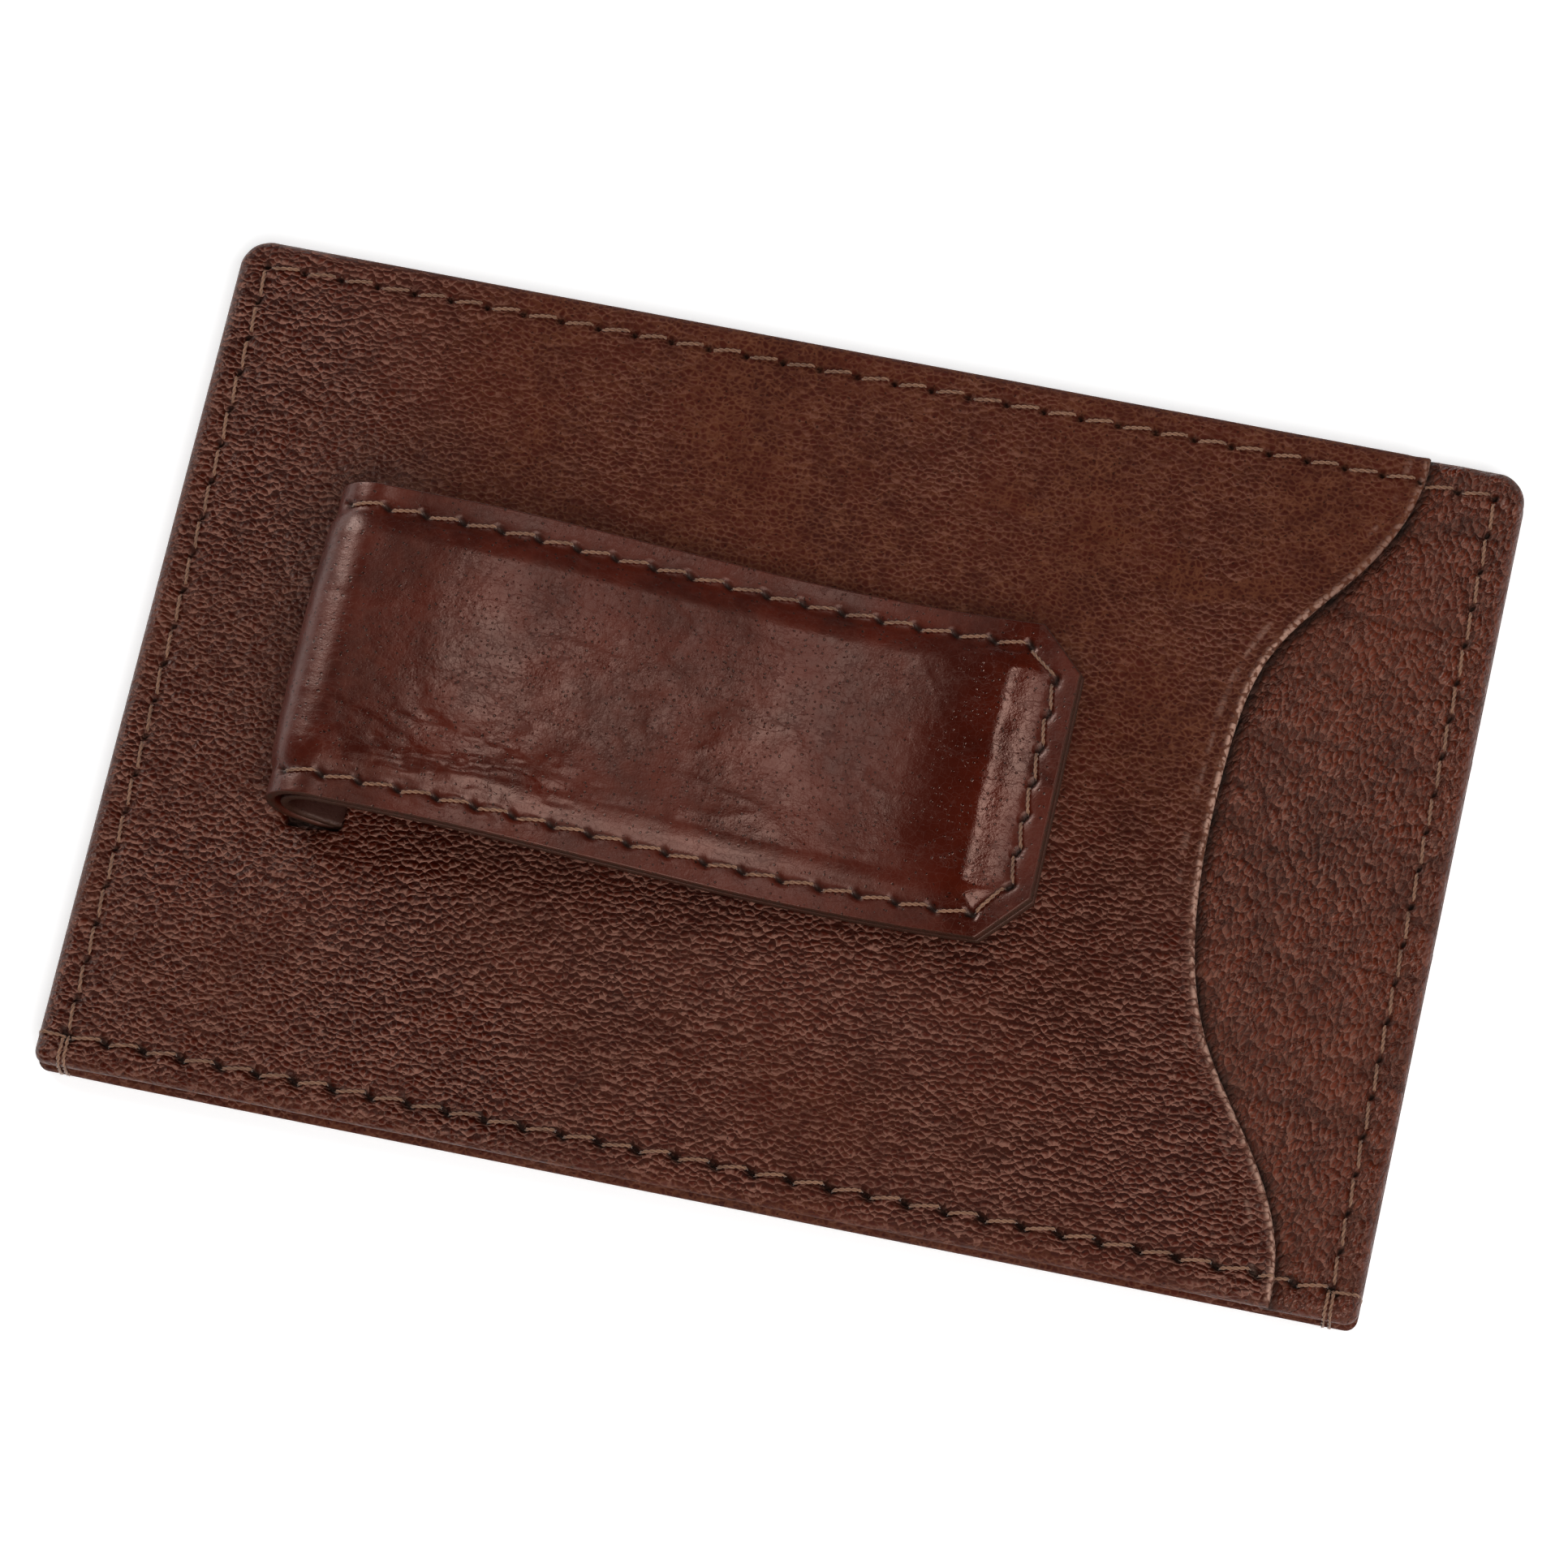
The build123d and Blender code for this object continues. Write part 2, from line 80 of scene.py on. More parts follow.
CASE_LOW, CASE_HIGH = span("back_base_panel")
EDGE = CASE_HIGH[0]
MOUTH = CASE_LOW[1]
CLOSED = CASE_HIGH[1]
CORNER_R = 2.4
MOUTH_CORNER_R = 1.0
SEAM_INSET = 2.3
SEAM_X = EDGE - SEAM_INSET
SEAM_TOP = CLOSED - SEAM_INSET
SEAM_LOW = MOUTH + SEAM_INSET
LONG_STITCHES = 33
SIDE_STITCHES = 21
HEM_ENDS = (1.3, 7.4)

POCKET_UNDER = span("back_pocket_panel")[0][2]
SWELL_TOP = span("back_pocket_panel")[1][2]
RIM_TOP = 3.9
STRIP_TOP = POCKET_UNDER + 0.05
BACK_LEATHER = 3.0

BULGE_BY_BEND = (-37.5, 8, 5, 15)
WRINKLES_BY_BEND = (-42, 8, 7, 14)
WRINKLES_UNDER_CLIP = (-4, -18, 26, 6)
WRINKLES_BY_MOUTH = (12, -24, 14, 8)
SCUFFED = (22, 21, 12, 7)
POLISHED = (-8, -19, 30, 9)

SLIT = (-36.9, -32.4)
SWELL_FOOT = (-35.5, 29.0, 24.0)
SWELL_HEAD = (-32.4, 18.0, 15.0)
BESIDE_SLIT = (12.5, 17)

CLIP_LOW, CLIP_HIGH = span("clip_top_cover")
CLIP_MIDDLE = (CLIP_LOW[1] + CLIP_HIGH[1]) / 2
CLIP_HALF = (CLIP_HIGH[1] - CLIP_LOW[1]) / 2
CLIP_TIP = CLIP_HIGH[0]
CLIP_SEAM = 1.9
ROUND_THE_BEND = 2.7
TIP_CHAMFER = 3.7
HINGE = np.array(frame["joints"][0]["pos_m"]) / MM
BEND_R = 3.3
BEND_SWEEP = math.radians(155)
STEEL = 0.5
HUMP_FLAT = 4.4
HUMP_R = 60.0
FLARE_R = 65.0
ARM_SLOPE = math.radians(9.5)
CONTACT_Z = 6.9
LEG_Z = 3.8
LEG_CORNER_R = 2.0
LEG_STOP = -30.0

SLOT_EDGES = (-4.0, 12.0)
SLOT_LEATHER = 0.45
SLOT_LAP = 1.6
SLOT_STEP = 0.5
POCKET_LEATHER = 0.62
BACK_UNDER = 2.45
FLOOR_THREAD_Z = 0.17


# ---- small helpers for shapes


def ramp(value, start, end):
    """0 before start, 1 after end, smooth in between."""
    t = np.clip((value - start) / (end - start), 0, 1)
    return t * t * (3 - 2 * t)


def bump(value, middle, width):
    """A bell of height 1."""
    return np.exp(-(((value - middle) / width) ** 2))


def spot(x, y, place):
    """A round hill of height 1 on the plan, for (middle x, middle y, size along x, size along y)."""
    return bump(x, place[0], place[2]) * bump(y, place[1], place[3])


LATTICE = 256


def noise(x, y, size, seed):
    """Smooth noise between -1 and 1, with lumps about as large as size."""
    cells = LATTICE
    lattice = np.random.default_rng(seed).uniform(-1, 1, (cells, cells))
    u = x / size + cells / 2
    v = y / size + cells / 2
    i = np.floor(u).astype(int)
    j = np.floor(v).astype(int)
    a = ramp(u - i, 0, 1)
    b = ramp(v - j, 0, 1)
    near = lattice[i % cells, j % cells] * (1 - a) + lattice[(i + 1) % cells, j % cells] * a
    far = lattice[i % cells, (j + 1) % cells] * (1 - a) + lattice[(i + 1) % cells, (j + 1) % cells] * a
    return near * (1 - b) + far * b


def cloud(x, y, size, seed):
    """Noise with finer noise on it."""
    coarse = noise(x, y, size, seed)
    middle = noise(x, y, size / 2.1, seed + 1)
    fine = noise(x, y, size / 4.3, seed + 2)
    return (coarse + 0.5 * middle + 0.25 * fine) / 1.75


def creases(x, y, size, sharpness, seed):
    """Thin wandering lines, 1 along each line."""
    return np.exp(-((cloud(x, y, size, seed) * sharpness) ** 2))


def grid_lines(start, end, step, roll_start, roll_end, turns=7):
    """Grid lines from start to end, bunched towards the ends where the edges roll over."""
    bunched = 1 - np.cos(np.linspace(0, math.pi / 2, turns))
    first = start + roll_start * bunched
    last = end - roll_end * bunched[::-1]
    count = int(round((last[0] - first[-1]) / step)) + 1
    middle = np.linspace(first[-1], last[0], count)
    return np.concatenate([first[:-1], middle, last[1:]])


def points_of(x, y, z):
    """Points from their three coordinates."""
    return np.stack([x, y, z], -1)


def roll(distance, radius):
    """Share of the full height at a distance from a rounded edge."""
    t = 1 - np.clip(distance / radius, 0, 1)
    return np.sqrt(1 - t * t)


# ---- meshes


def new_piece(name, points, faces, data):
    """A smooth mesh object. data holds values for each point, by name."""
    mesh = bpy.data.meshes.new(name)
    mesh.from_pydata((points * MM).tolist(), [], faces)
    mesh.polygons.foreach_set("use_smooth", np.ones(len(mesh.polygons), bool))
    for key, values in data.items():
        vector = values.ndim == 2
        attribute = mesh.attributes.new(key, "FLOAT_VECTOR" if vector else "FLOAT", "POINT")
        attribute.data.foreach_set("vector" if vector else "value", values.astype(np.float32).ravel())
    mesh.update()
    piece = bpy.data.objects.new(name, mesh)
    bpy.context.scene.collection.objects.link(piece)
    return piece


def kept_lines(count, coarse):
    """Which grid lines a coarser grid keeps, with both ends."""
    lines = list(range(0, count - 1, coarse))
    return lines + [count - 1]


def shell(name, top, under, data, coarse=4):
    """A closed sheet between two grids of points with one common border; its underside is coarser."""
    rows, columns = top.shape[:2]
    number = np.arange(rows * columns).reshape(rows, columns)
    row_lines = kept_lines(rows, coarse)
    column_lines = kept_lines(columns, coarse)
    inner = np.ix_(row_lines[1:-1], column_lines[1:-1])
    back = number.copy()
    inner_count = (len(row_lines) - 2) * (len(column_lines) - 2)
    back[inner] = rows * columns + np.arange(inner_count).reshape(back[inner].shape)
    points = np.concatenate([top.reshape(-1, 3), under[inner].reshape(-1, 3)])
    quads = np.stack([number[:-1, :-1], number[:-1, 1:], number[1:, 1:], number[1:, :-1]], -1)
    faces = quads.reshape(-1, 4).tolist()
    for r0, r1 in zip(row_lines, row_lines[1:]):
        for c0, c1 in zip(column_lines, column_lines[1:]):
            left = list(back[r0 : r1 + 1, 0]) if c0 == 0 else [back[r0, c0], back[r1, c0]]
            right = list(back[r0 : r1 + 1, -1]) if c1 == columns - 1 else [back[r0, c1], back[r1, c1]]
            low = list(back[0, c0 + 1 : c1]) if r0 == 0 else []
            high = list(back[-1, c0 + 1 : c1]) if r1 == rows - 1 else []
            faces.append([int(k) for k in left + high + right[::-1] + low[::-1]])
    values = {}
    for key, (on_top, on_under) in data.items():
        width = on_top.shape[2:]
        values[key] = np.concatenate([on_top.reshape(-1, *width), on_under[inner].reshape(-1, *width)])
    return new_piece(name, points, faces, values)


def sheet_data(flat_top, flat_under, **values):
    """What a sheet's points carry: unbent places, and values that are the same on both sides."""
    data = {"flat": (flat_top, flat_under)}
    for key, value in values.items():
        data[key] = (np.clip(value, 0, 1),) * 2
    return data


def unit(vectors):
    """Vectors brought to length 1."""
    return vectors / np.linalg.norm(vectors, axis=-1, keepdims=True)


def across_lines(lines, near_up):
    """Two directions across each line at each of its points."""
    along = unit(np.gradient(lines, axis=1))
    side = unit(np.cross(along, near_up))
    return side, np.cross(along, side)


def tubes(name, lines, radius, sides=6):
    """Closed tubes of one radius along lines that all have the same number of points."""
    count, length = lines.shape[:2]
    side, over = across_lines(lines, [0.31, 0.17, 0.93])
    angles = np.linspace(0, 2 * math.pi, sides, endpoint=False)
    ring = np.cos(angles)[:, None] * side[:, :, None] + np.sin(angles)[:, None] * over[:, :, None]
    thickness = np.full(length, radius)
    thickness[[0, -1]] = radius * 0.5
    points = lines[:, :, None] + ring * thickness[:, None, None]
    number = np.arange(count * length * sides).reshape(count, length, sides)
    a = number[:, :-1]
    b = number[:, 1:]
    quads = np.stack([a, np.roll(a, -1, 2), np.roll(b, -1, 2), b], -1).reshape(-1, 4)
    faces = quads.tolist() + number[:, 0, ::-1].tolist() + number[:, -1].tolist()
    travelled = np.concatenate([[0], np.cumsum(np.linalg.norm(np.diff(lines[0], axis=0), axis=1))])
    flat = np.empty(points.shape)
    flat[..., 0] = travelled[:, None]
    flat[..., 1] = np.arange(sides) * 2 * math.pi * radius / sides
    flat[..., 2] = np.arange(count)[:, None, None]
    return new_piece(name, points.reshape(-1, 3), faces, {"flat": flat.reshape(-1, 3)})


# ---- seams


def needle_holes(start, end, stitches):
    """Needle holes of a straight row, as points on the plan."""
    return np.linspace(start, end, stitches + 1)


CASE_ROWS = {
    "mouth": needle_holes((-SEAM_X, SEAM_LOW), (SEAM_X, SEAM_LOW), LONG_STITCHES),
    "closed": needle_holes((-SEAM_X, SEAM_TOP), (SEAM_X, SEAM_TOP), LONG_STITCHES),
    "left": needle_holes((-SEAM_X, SEAM_LOW), (-SEAM_X, SEAM_TOP), SIDE_STITCHES),
    "right": needle_holes((SEAM_X, SEAM_LOW), (SEAM_X, SEAM_TOP), SIDE_STITCHES),
}
ROW_SLANT = {"mouth": -32, "closed": -26, "left": -14, "right": -14}
ROW_CUT = {"mouth": (0.66, 0.27), "closed": (0.3, 0.17), "left": (0.3, 0.17), "right": (0.3, 0.17)}
CLIP_CUT = (0.45, 0.2)
CUT_DEPTH = 0.6
CLIP_CUT_DEPTH = 0.5
SLIT_HALF = 0.5
CHANNEL_WIDTH = 0.5
CASE_CHANNEL = 0.15
FRONT_CHANNEL = 0.16
CLIP_CHANNEL = 0.1


def slit_end(holes, slant):
    """From the middle of a row's slanted needle cuts to their far end."""
    heading = holes[-1] - holes[0]
    angle = math.atan2(heading[1], heading[0]) + math.radians(slant)
    return SLIT_HALF * np.array([math.cos(angle), math.sin(angle)])


def seam_relief(x, y, holes, slant, depth, width, cut_size):
    """Depth of the channel along a row, and 0 to 1 darkness of its needle cuts."""
    start = holes[0]
    heading = holes[-1] - start
    length = np.linalg.norm(heading)
    heading = heading / length
    pitch = length / (len(holes) - 1)
    along = (x - start[0]) * heading[0] + (y - start[1]) * heading[1]
    across = (y - start[1]) * heading[0] - (x - start[0]) * heading[1]
    inside = ramp(along, -1.0, 0.0) * ramp(-along, -length - 1.0, -length)
    local = along - np.clip(np.round(along / pitch), 0, len(holes) - 1) * pitch
    turn = math.radians(slant)
    a = local * math.cos(turn) + across * math.sin(turn)
    b = across * math.cos(turn) - local * math.sin(turn)
    cut = np.exp(-((np.abs(a) / cut_size[0]) ** 4) - (b / cut_size[1]) ** 2)
    ride = 0.65 + 0.35 * np.cos(2 * math.pi * along / pitch)
    channel = depth * bump(across, 0, width) * inside * ride
    return channel, cut


def all_seams(x, y, rows, depth):
    """Channel depth and needle cuts of several rows: (holes, slant, cut size) each."""
    reliefs = [seam_relief(x, y, holes, slant, depth, CHANNEL_WIDTH, size) for holes, slant, size in rows]
    channels, cuts = zip(*reliefs)
    return np.max(channels, axis=0), np.max(cuts, axis=0)


def case_seams(x, y, depth=CASE_CHANNEL):
    """Channel depth and needle cuts of the case's whole seam."""
    rows = [(holes, ROW_SLANT[name], ROW_CUT[name]) for name, holes in CASE_ROWS.items()]
    return all_seams(x, y, rows, depth)


def two_ply(lines, ply, twist, seed):
    """Two strands that wind round each line."""
    lines = np.asarray(lines)
    side, over = across_lines(lines, [0.13, 0.05, 0.99])
    steps = np.linalg.norm(np.diff(lines, axis=1), axis=2)
    travelled = np.concatenate([np.zeros((len(lines), 1)), np.cumsum(steps, 1)], 1)
    start = np.random.default_rng(seed).uniform(0, 2 * math.pi, (len(lines), 1))
    angle = start + travelled * 2 * math.pi / twist
    strands = []
    for half_turn in (0, math.pi):
        wound = np.cos(angle + half_turn)[..., None] * side + np.sin(angle + half_turn)[..., None] * over
        strands.append(lines + ply * wound)
    return np.concatenate(strands)


PLY = 0.08
TWIST = 1.0
STITCH_POINTS = 15


def stitch_line(start, end, height, lift, dive, place, seed):
    """One stitch between two needle cuts: up out of the first, along, and down into the next."""
    wobble = np.random.default_rng(seed)
    t = np.linspace(0, 1, STITCH_POINTS)
    bow = wobble.uniform(-0.05, 0.05)
    end = end + wobble.uniform(-0.05, 0.05, 2)
    x = start[0] + (end[0] - start[0]) * t
    y = start[1] + (end[1] - start[1]) * t + bow * np.sin(math.pi * t)
    rise = roll(np.minimum(t, 1 - t), 0.2)
    z = height(x, y) + lift * rise - dive * (1 - rise)
    return place(x, y, z)


def row_lines(holes, slant, height, seed, place=points_of, lift=0.13, dive=0.35):
    """Every stitch of a row."""
    offset = slit_end(holes, slant) * 0.8
    lines = []
    for k, (start, end) in enumerate(zip(holes, holes[1:])):
        lines.append(stitch_line(start + offset, end - offset, height, lift, dive, place, seed + k))
    return lines


# ---- plan of the case


def wave_edge():
    """The pocket's wave-cut edge: its X at each Y, from the CAD panel's underside."""
    points = cad_points("back_pocket_panel")
    edge = points[(points[:, 0] > 30) & (points[:, 2] < POCKET_UNDER + 0.01)]
    edge = edge[np.argsort(edge[:, 1])]
    return edge[:, 1], edge[:, 0]


WAVE_Y, WAVE_X = wave_edge()


def wave(y):
    """X of the pocket's edge."""
    return np.interp(y, WAVE_Y, WAVE_X)


def wave_distance(x, y):
    """Distance from the pocket's edge, above 0 on the panel."""
    slope = (wave(y + 0.5) - wave(y - 0.5)) / 1.0
    return (wave(y) - x) / np.sqrt(1 + slope * slope)


def edge_distance(x, y):
    """Distance from the case's outline, with its rounded corners."""
    flat = np.minimum(np.minimum(EDGE - np.abs(x), CLOSED - y), y - MOUTH)
    for radius, to_end in ((CORNER_R, CLOSED - y), (MOUTH_CORNER_R, y - MOUTH)):
        past_x = np.abs(x) - (EDGE - radius)
        past_y = radius - to_end
        flat = np.where((past_x > 0) & (past_y > 0), radius - np.hypot(past_x, past_y), flat)
    return flat


def corner_setback(y):
    """How far a rounded corner sets the side edge back at each Y."""
    up = np.clip(y - (CLOSED - CORNER_R), 0, CORNER_R)
    down = np.clip(MOUTH + MOUTH_CORNER_R - y, 0, MOUTH_CORNER_R)
    closed_end = CORNER_R - np.sqrt(CORNER_R**2 - up**2)
    return closed_end + MOUTH_CORNER_R - np.sqrt(MOUTH_CORNER_R**2 - down**2)


def pleats(x, y):
    """Small folds that fan out round the two closed corners."""
    corner_x = np.abs(x) - (EDGE - CORNER_R)
    corner_y = y - (CLOSED - CORNER_R)
    radius = np.hypot(corner_x, corner_y)
    angle = np.arctan2(corner_y, corner_x)
    fan = ramp(corner_x, -0.9, 0.2) * ramp(corner_y, -0.9, 0.2) * ramp(radius, 0.5, 1.6)
    return fan * np.cos(9 * angle + 1.5 * np.sign(x))


# ---- heights of the leather


def swell(x, y):
    """0 to 1: how far the pocket panel is raised over the clip's leg."""
    off = np.abs(y - CLIP_MIDDLE)
    beyond_slit = ramp(off, *BESIDE_SLIT)
    foot = SWELL_FOOT[0] - 8 * beyond_slit
    head = SWELL_HEAD[0] + 4 * beyond_slit
    lengthwise = ramp((x - foot) / (head - foot), 0, 1) * ramp(-x, -SWELL_FOOT[1], -SWELL_HEAD[1])
    return lengthwise * ramp(-off, -SWELL_FOOT[2], -SWELL_HEAD[2])


def in_slit(x, y):
    """1 inside the slit that the clip's leg goes through."""
    across = ramp(CLIP_HALF + 0.45 - np.abs(y - CLIP_MIDDLE), 0, 0.3)
    return ramp(x, SLIT[0] - 0.25, SLIT[0]) * ramp(-x, -SLIT[1], -SLIT[1] + 0.25) * across


def soft_wrinkles(x, y):
    """Shallow stretch marks of soft leather, stronger in a few places."""
    marks = creases(x * 0.55 + y * 0.5, y * 1.6 - x * 0.25, 3.4, 5.0, 31)
    marks = marks * (spot(x, y, WRINKLES_UNDER_CLIP) + spot(x, y, WRINKLES_BY_MOUTH))
    fans = creases(x * 1.2, y * 0.45 + x * 0.1, 2.6, 5.0, 37) * spot(x, y, WRINKLES_BY_BEND)
    return -0.045 * marks - 0.05 * fans


def pocket_height(x, y, with_cuts=True):
    """Top of the pocket panel."""
    channel, cut = case_seams(x, y)
    edge = edge_distance(x, y)
    cut_edge = wave_distance(x, y)
    on_rim = bump(edge, 1.05, 0.6)
    rim_crease = bump(cut_edge, 1.35 + 0.12 * noise(x, y, 4, 11), 0.3)
    curled = bump(cut_edge, 0.3, 0.33) * (1 + 0.5 * noise(x, y, 0.7, 13))
    height = RIM_TOP + (SWELL_TOP - RIM_TOP) * swell(x, y)
    height += 0.5 * spot(x, y, BULGE_BY_BEND)
    height += 0.07 * cloud(x, y, 9, 3) + soft_wrinkles(x, y)
    height += 0.05 * on_rim - channel - 0.12 * rim_crease + 0.12 * curled + 0.05 * pleats(x, y)
    height -= (height - POCKET_UNDER - 0.08) * in_slit(x, y)
    if with_cuts:
        height -= CUT_DEPTH * cut
    return height


def strip_creases(x, y):
    """Creases of the full-size panel: a few across it, more that lean along it, 1 at their bottom."""
    across = creases(x * 0.3, y, 4.5, 11.0, 71)
    leaning = creases(x * 1.1 - y * 0.5, y * 0.3 + x * 0.15, 2.4, 8.0, 75)
    return np.maximum(across, 0.6 * leaning)


def strip_height(x, y, with_cuts=True):
    """Top of the full-size panel behind, which shows right of the wave-cut edge."""
    channel, cut = case_seams(x, y)
    edge = edge_distance(x, y)
    beside = -wave_distance(x, y)
    covered = ramp(-beside, -0.9, 0.3)
    height = STRIP_TOP + 0.1 * ramp(beside, 0, 4)
    height += 0.05 * cloud(x, y, 6, 61)
    height -= 0.13 * strip_creases(x, y)
    height += 0.05 * bump(edge, 1.1, 0.6) - channel + 0.05 * pleats(x, y)
    if with_cuts:
        height -= CUT_DEPTH * cut
    return height * (1 - covered) + BACK_LEATHER * covered


ROLLS_MEET = 1.58


def mouth_gap(x, y):
    """0 where the back's and the front's turned edges touch, 1 where the mouth stands widest open."""
    near_mouth = 1 - ramp(y, MOUTH + 1.0, MOUTH + 5.0)
    return near_mouth * ramp(x, -EDGE + 0.8, -EDGE + 8.0) * (1 - 0.9 * ramp(x, -24, EDGE - 6))


def back_roll_under(x, y):
    """Lower side of the back's turned edge."""
    return ROLLS_MEET + 0.03 + 0.6 * mouth_gap(x, y)


def front_roll_top(x, y):
    """Upper side of the front's turned edge."""
    return ROLLS_MEET - 0.03 - 0.5 * mouth_gap(x, y)


def back_face(x, y):
    """Top of the back at any place, without its needle cuts, where its threads lie."""
    on_panel = wave_distance(x, y) > 0.1
    return np.where(on_panel, pocket_height(x, y, False), strip_height(x, y, False))


def front_face(x, y):
    """Height of the threads on the floor side."""
    return FLOOR_THREAD_Z + 0 * x


def outline_grid(xs, ys, left, right):
    """A plan grid whose first and last columns follow the given edges."""
    base_x, y = np.meshgrid(xs, ys)
    share = ramp(base_x, xs[0] + 8, xs[-1] - 8)
    x = base_x + (left(y) - xs[0]) * (1 - share) + (right(y) - xs[-1]) * share
    return x, y


def close_sheet(x, y, top, under, edges):
    """Top and underside points of a sheet whose edges roll over, each (distance, radius)."""
    full = np.ones(x.shape)
    for distance, radius in edges:
        full = full * roll(distance, radius)
    middle = (top + under) / 2
    over = points_of(x, y, middle + (top - middle) * full)
    below = points_of(x, y, middle - (middle - under) * full)
    return over, below


def edge_fade(distance):
    """1 at the outline, 0 on the flat of a panel."""
    return 1 - ramp(distance, 1.2, 3.2)


ROLL_R = 0.95


def case_leather(name, node, slot, over, below, **values):
    """A leather sheet that stays with the case, in place of one CAD node."""
    piece = shell(name, over, below, sheet_data(over, below, **values))
    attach(piece, "case")
    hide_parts(node)
    return piece


def build_pocket_panel():
    """Fine-pebbled outer leather of the back, cut in a wave, with the slit for the clip's leg."""
    xs = grid_lines(-EDGE, WAVE_X.max(), 0.25, ROLL_R, 0.25)
    ys = grid_lines(MOUTH, CLOSED, 0.25, ROLL_R, ROLL_R, 9)
    x, y = outline_grid(xs, ys, lambda v: -EDGE + corner_setback(v), wave)
    edge = np.maximum(edge_distance(np.minimum(x, 0), y), 0)
    cut_edge = np.maximum(wave_distance(x, y), 0)
    top = pocket_height(x, y)
    folded = edge_fade(edge)
    under = (pocket_height(x, y, False) - POCKET_LEATHER) * (1 - folded) + back_roll_under(x, y) * folded
    under = under * (1 - in_slit(x, y)) + (POCKET_UNDER - 0.02) * in_slit(x, y)
    over, below = close_sheet(x, y, top, under, [(edge, ROLL_R), (cut_edge, 0.2)])
    channel, cut = case_seams(x, y)
    worn = 0.15 + 0.6 * ramp(y + 0.15 * x, -12, 16) * ramp(x, -48, -20) + 0.3 * cloud(x, y, 9, 5)
    scuffs = ramp(cloud(x * 0.5 + y * 0.35, y - x * 0.3, 3.0, 23), 0.28, 0.5) * spot(x, y, SCUFFED)
    worn += 0.7 * scuffs + 0.4 * bump(cut_edge, 0, 0.5) + 0.55 * bump(edge, 0, 0.45)
    gloss = 0.75 * (1 - ramp(x + 0.4 * y, -34, -18)) + 0.6 * spot(x, y, POLISHED)
    gloss += 0.35 * (1 - ramp(y, -34, -20)) + 0.25 * cloud(x, y, 7, 43)
    gloss += 0.7 * bump(cut_edge, 0, 6) * (1 - ramp(y, -14, 4))
    # Painted shade: darker in the needle cuts, along the seam's channel and in the clip's slit.
    pit = cut * 1.25 + 0.08 * channel / CASE_CHANNEL + 0.9 * in_slit(x, y)
    # The cut wave edge's mask also carries a painted highlight: brightest along the rim below the wave's
    # upper end, and in broken spots along the crease 1.6 mm inside it.
    raw = (1 - ramp(cut_edge, 0.22, 0.58)) * ramp(edge, 0.2, 0.6) * (0.85 - 0.5 * ramp(y, 14, 26))
    raw += 0.35 * bump(cut_edge, 1.6, 0.14) * ramp(noise(x, y, 1.4, 17), -0.1, 0.5)
    values = {"worn": worn, "gloss": gloss, "pit": pit, "raw": raw}
    return case_leather("pocket_panel_leather", "back_pocket_panel", "pocket_leather", over, below, **values)


def build_back_panel():
    """Full-size leather behind the pocket: the crackled strip at the right, tucked in elsewhere."""
    tuck = 2.6
    seen_from = 32.0
    hidden = np.linspace(-EDGE + tuck, seen_from, 40)[:-1]
    xs = np.concatenate([hidden, grid_lines(seen_from, EDGE, 0.2, 0.2, ROLL_R, 9)])
    ys = grid_lines(MOUTH, CLOSED, 0.22, ROLL_R, ROLL_R, 9)
    x, y = outline_grid(xs, ys, lambda v: xs[0] + 0 * v, lambda v: EDGE - corner_setback(v))
    behind = ramp(wave(y) - x, 0.6, 1.8)
    centre = (MOUTH + CLOSED) / 2
    towards = (y - centre) / (CLOSED - centre)
    y -= tuck * behind * np.sign(towards) * ramp(np.abs(towards), 0.6, 1.0)
    edge = np.maximum(edge_distance(x, y), 0)
    border = np.minimum(edge, x - xs[0])
    low_limit = np.minimum(y - MOUTH, CLOSED - y) - tuck * behind
    border = np.maximum(np.minimum(border, low_limit), 0)
    top = strip_height(x, y)
    folded = edge_fade(edge) * (1 - behind)
    under = BACK_UNDER * (1 - folded) + back_roll_under(x, y) * folded
    over, below = close_sheet(x, y, top, under, [(border, ROLL_R)])
    channel, cut = case_seams(x, y)
    worn = 0.1 + 0.3 * cloud(x, y, 5, 83) + 0.6 * bump(edge, 0, 0.45)
    gloss = 0.35 + 0.5 * bump(edge, 1.0, 0.9) + 0.4 * cloud(x, y, 6, 87)
    # Painted shade in the needle cuts and seam channel, a painted shadow of the pocket's wave edge on this
    # panel, and painted shade in the creases.
    pit = cut * 1.25 + 0.08 * channel / CASE_CHANNEL + 0.7 * bump(wave_distance(x, y), 0, 0.5)
    pit += 0.35 * strip_creases(x, y)
    values = {"worn": worn, "gloss": gloss, "pit": pit, "raw": 0 * x}
    return case_leather("back_panel_leather", "back_base_panel", "back_leather", over, below, **values)


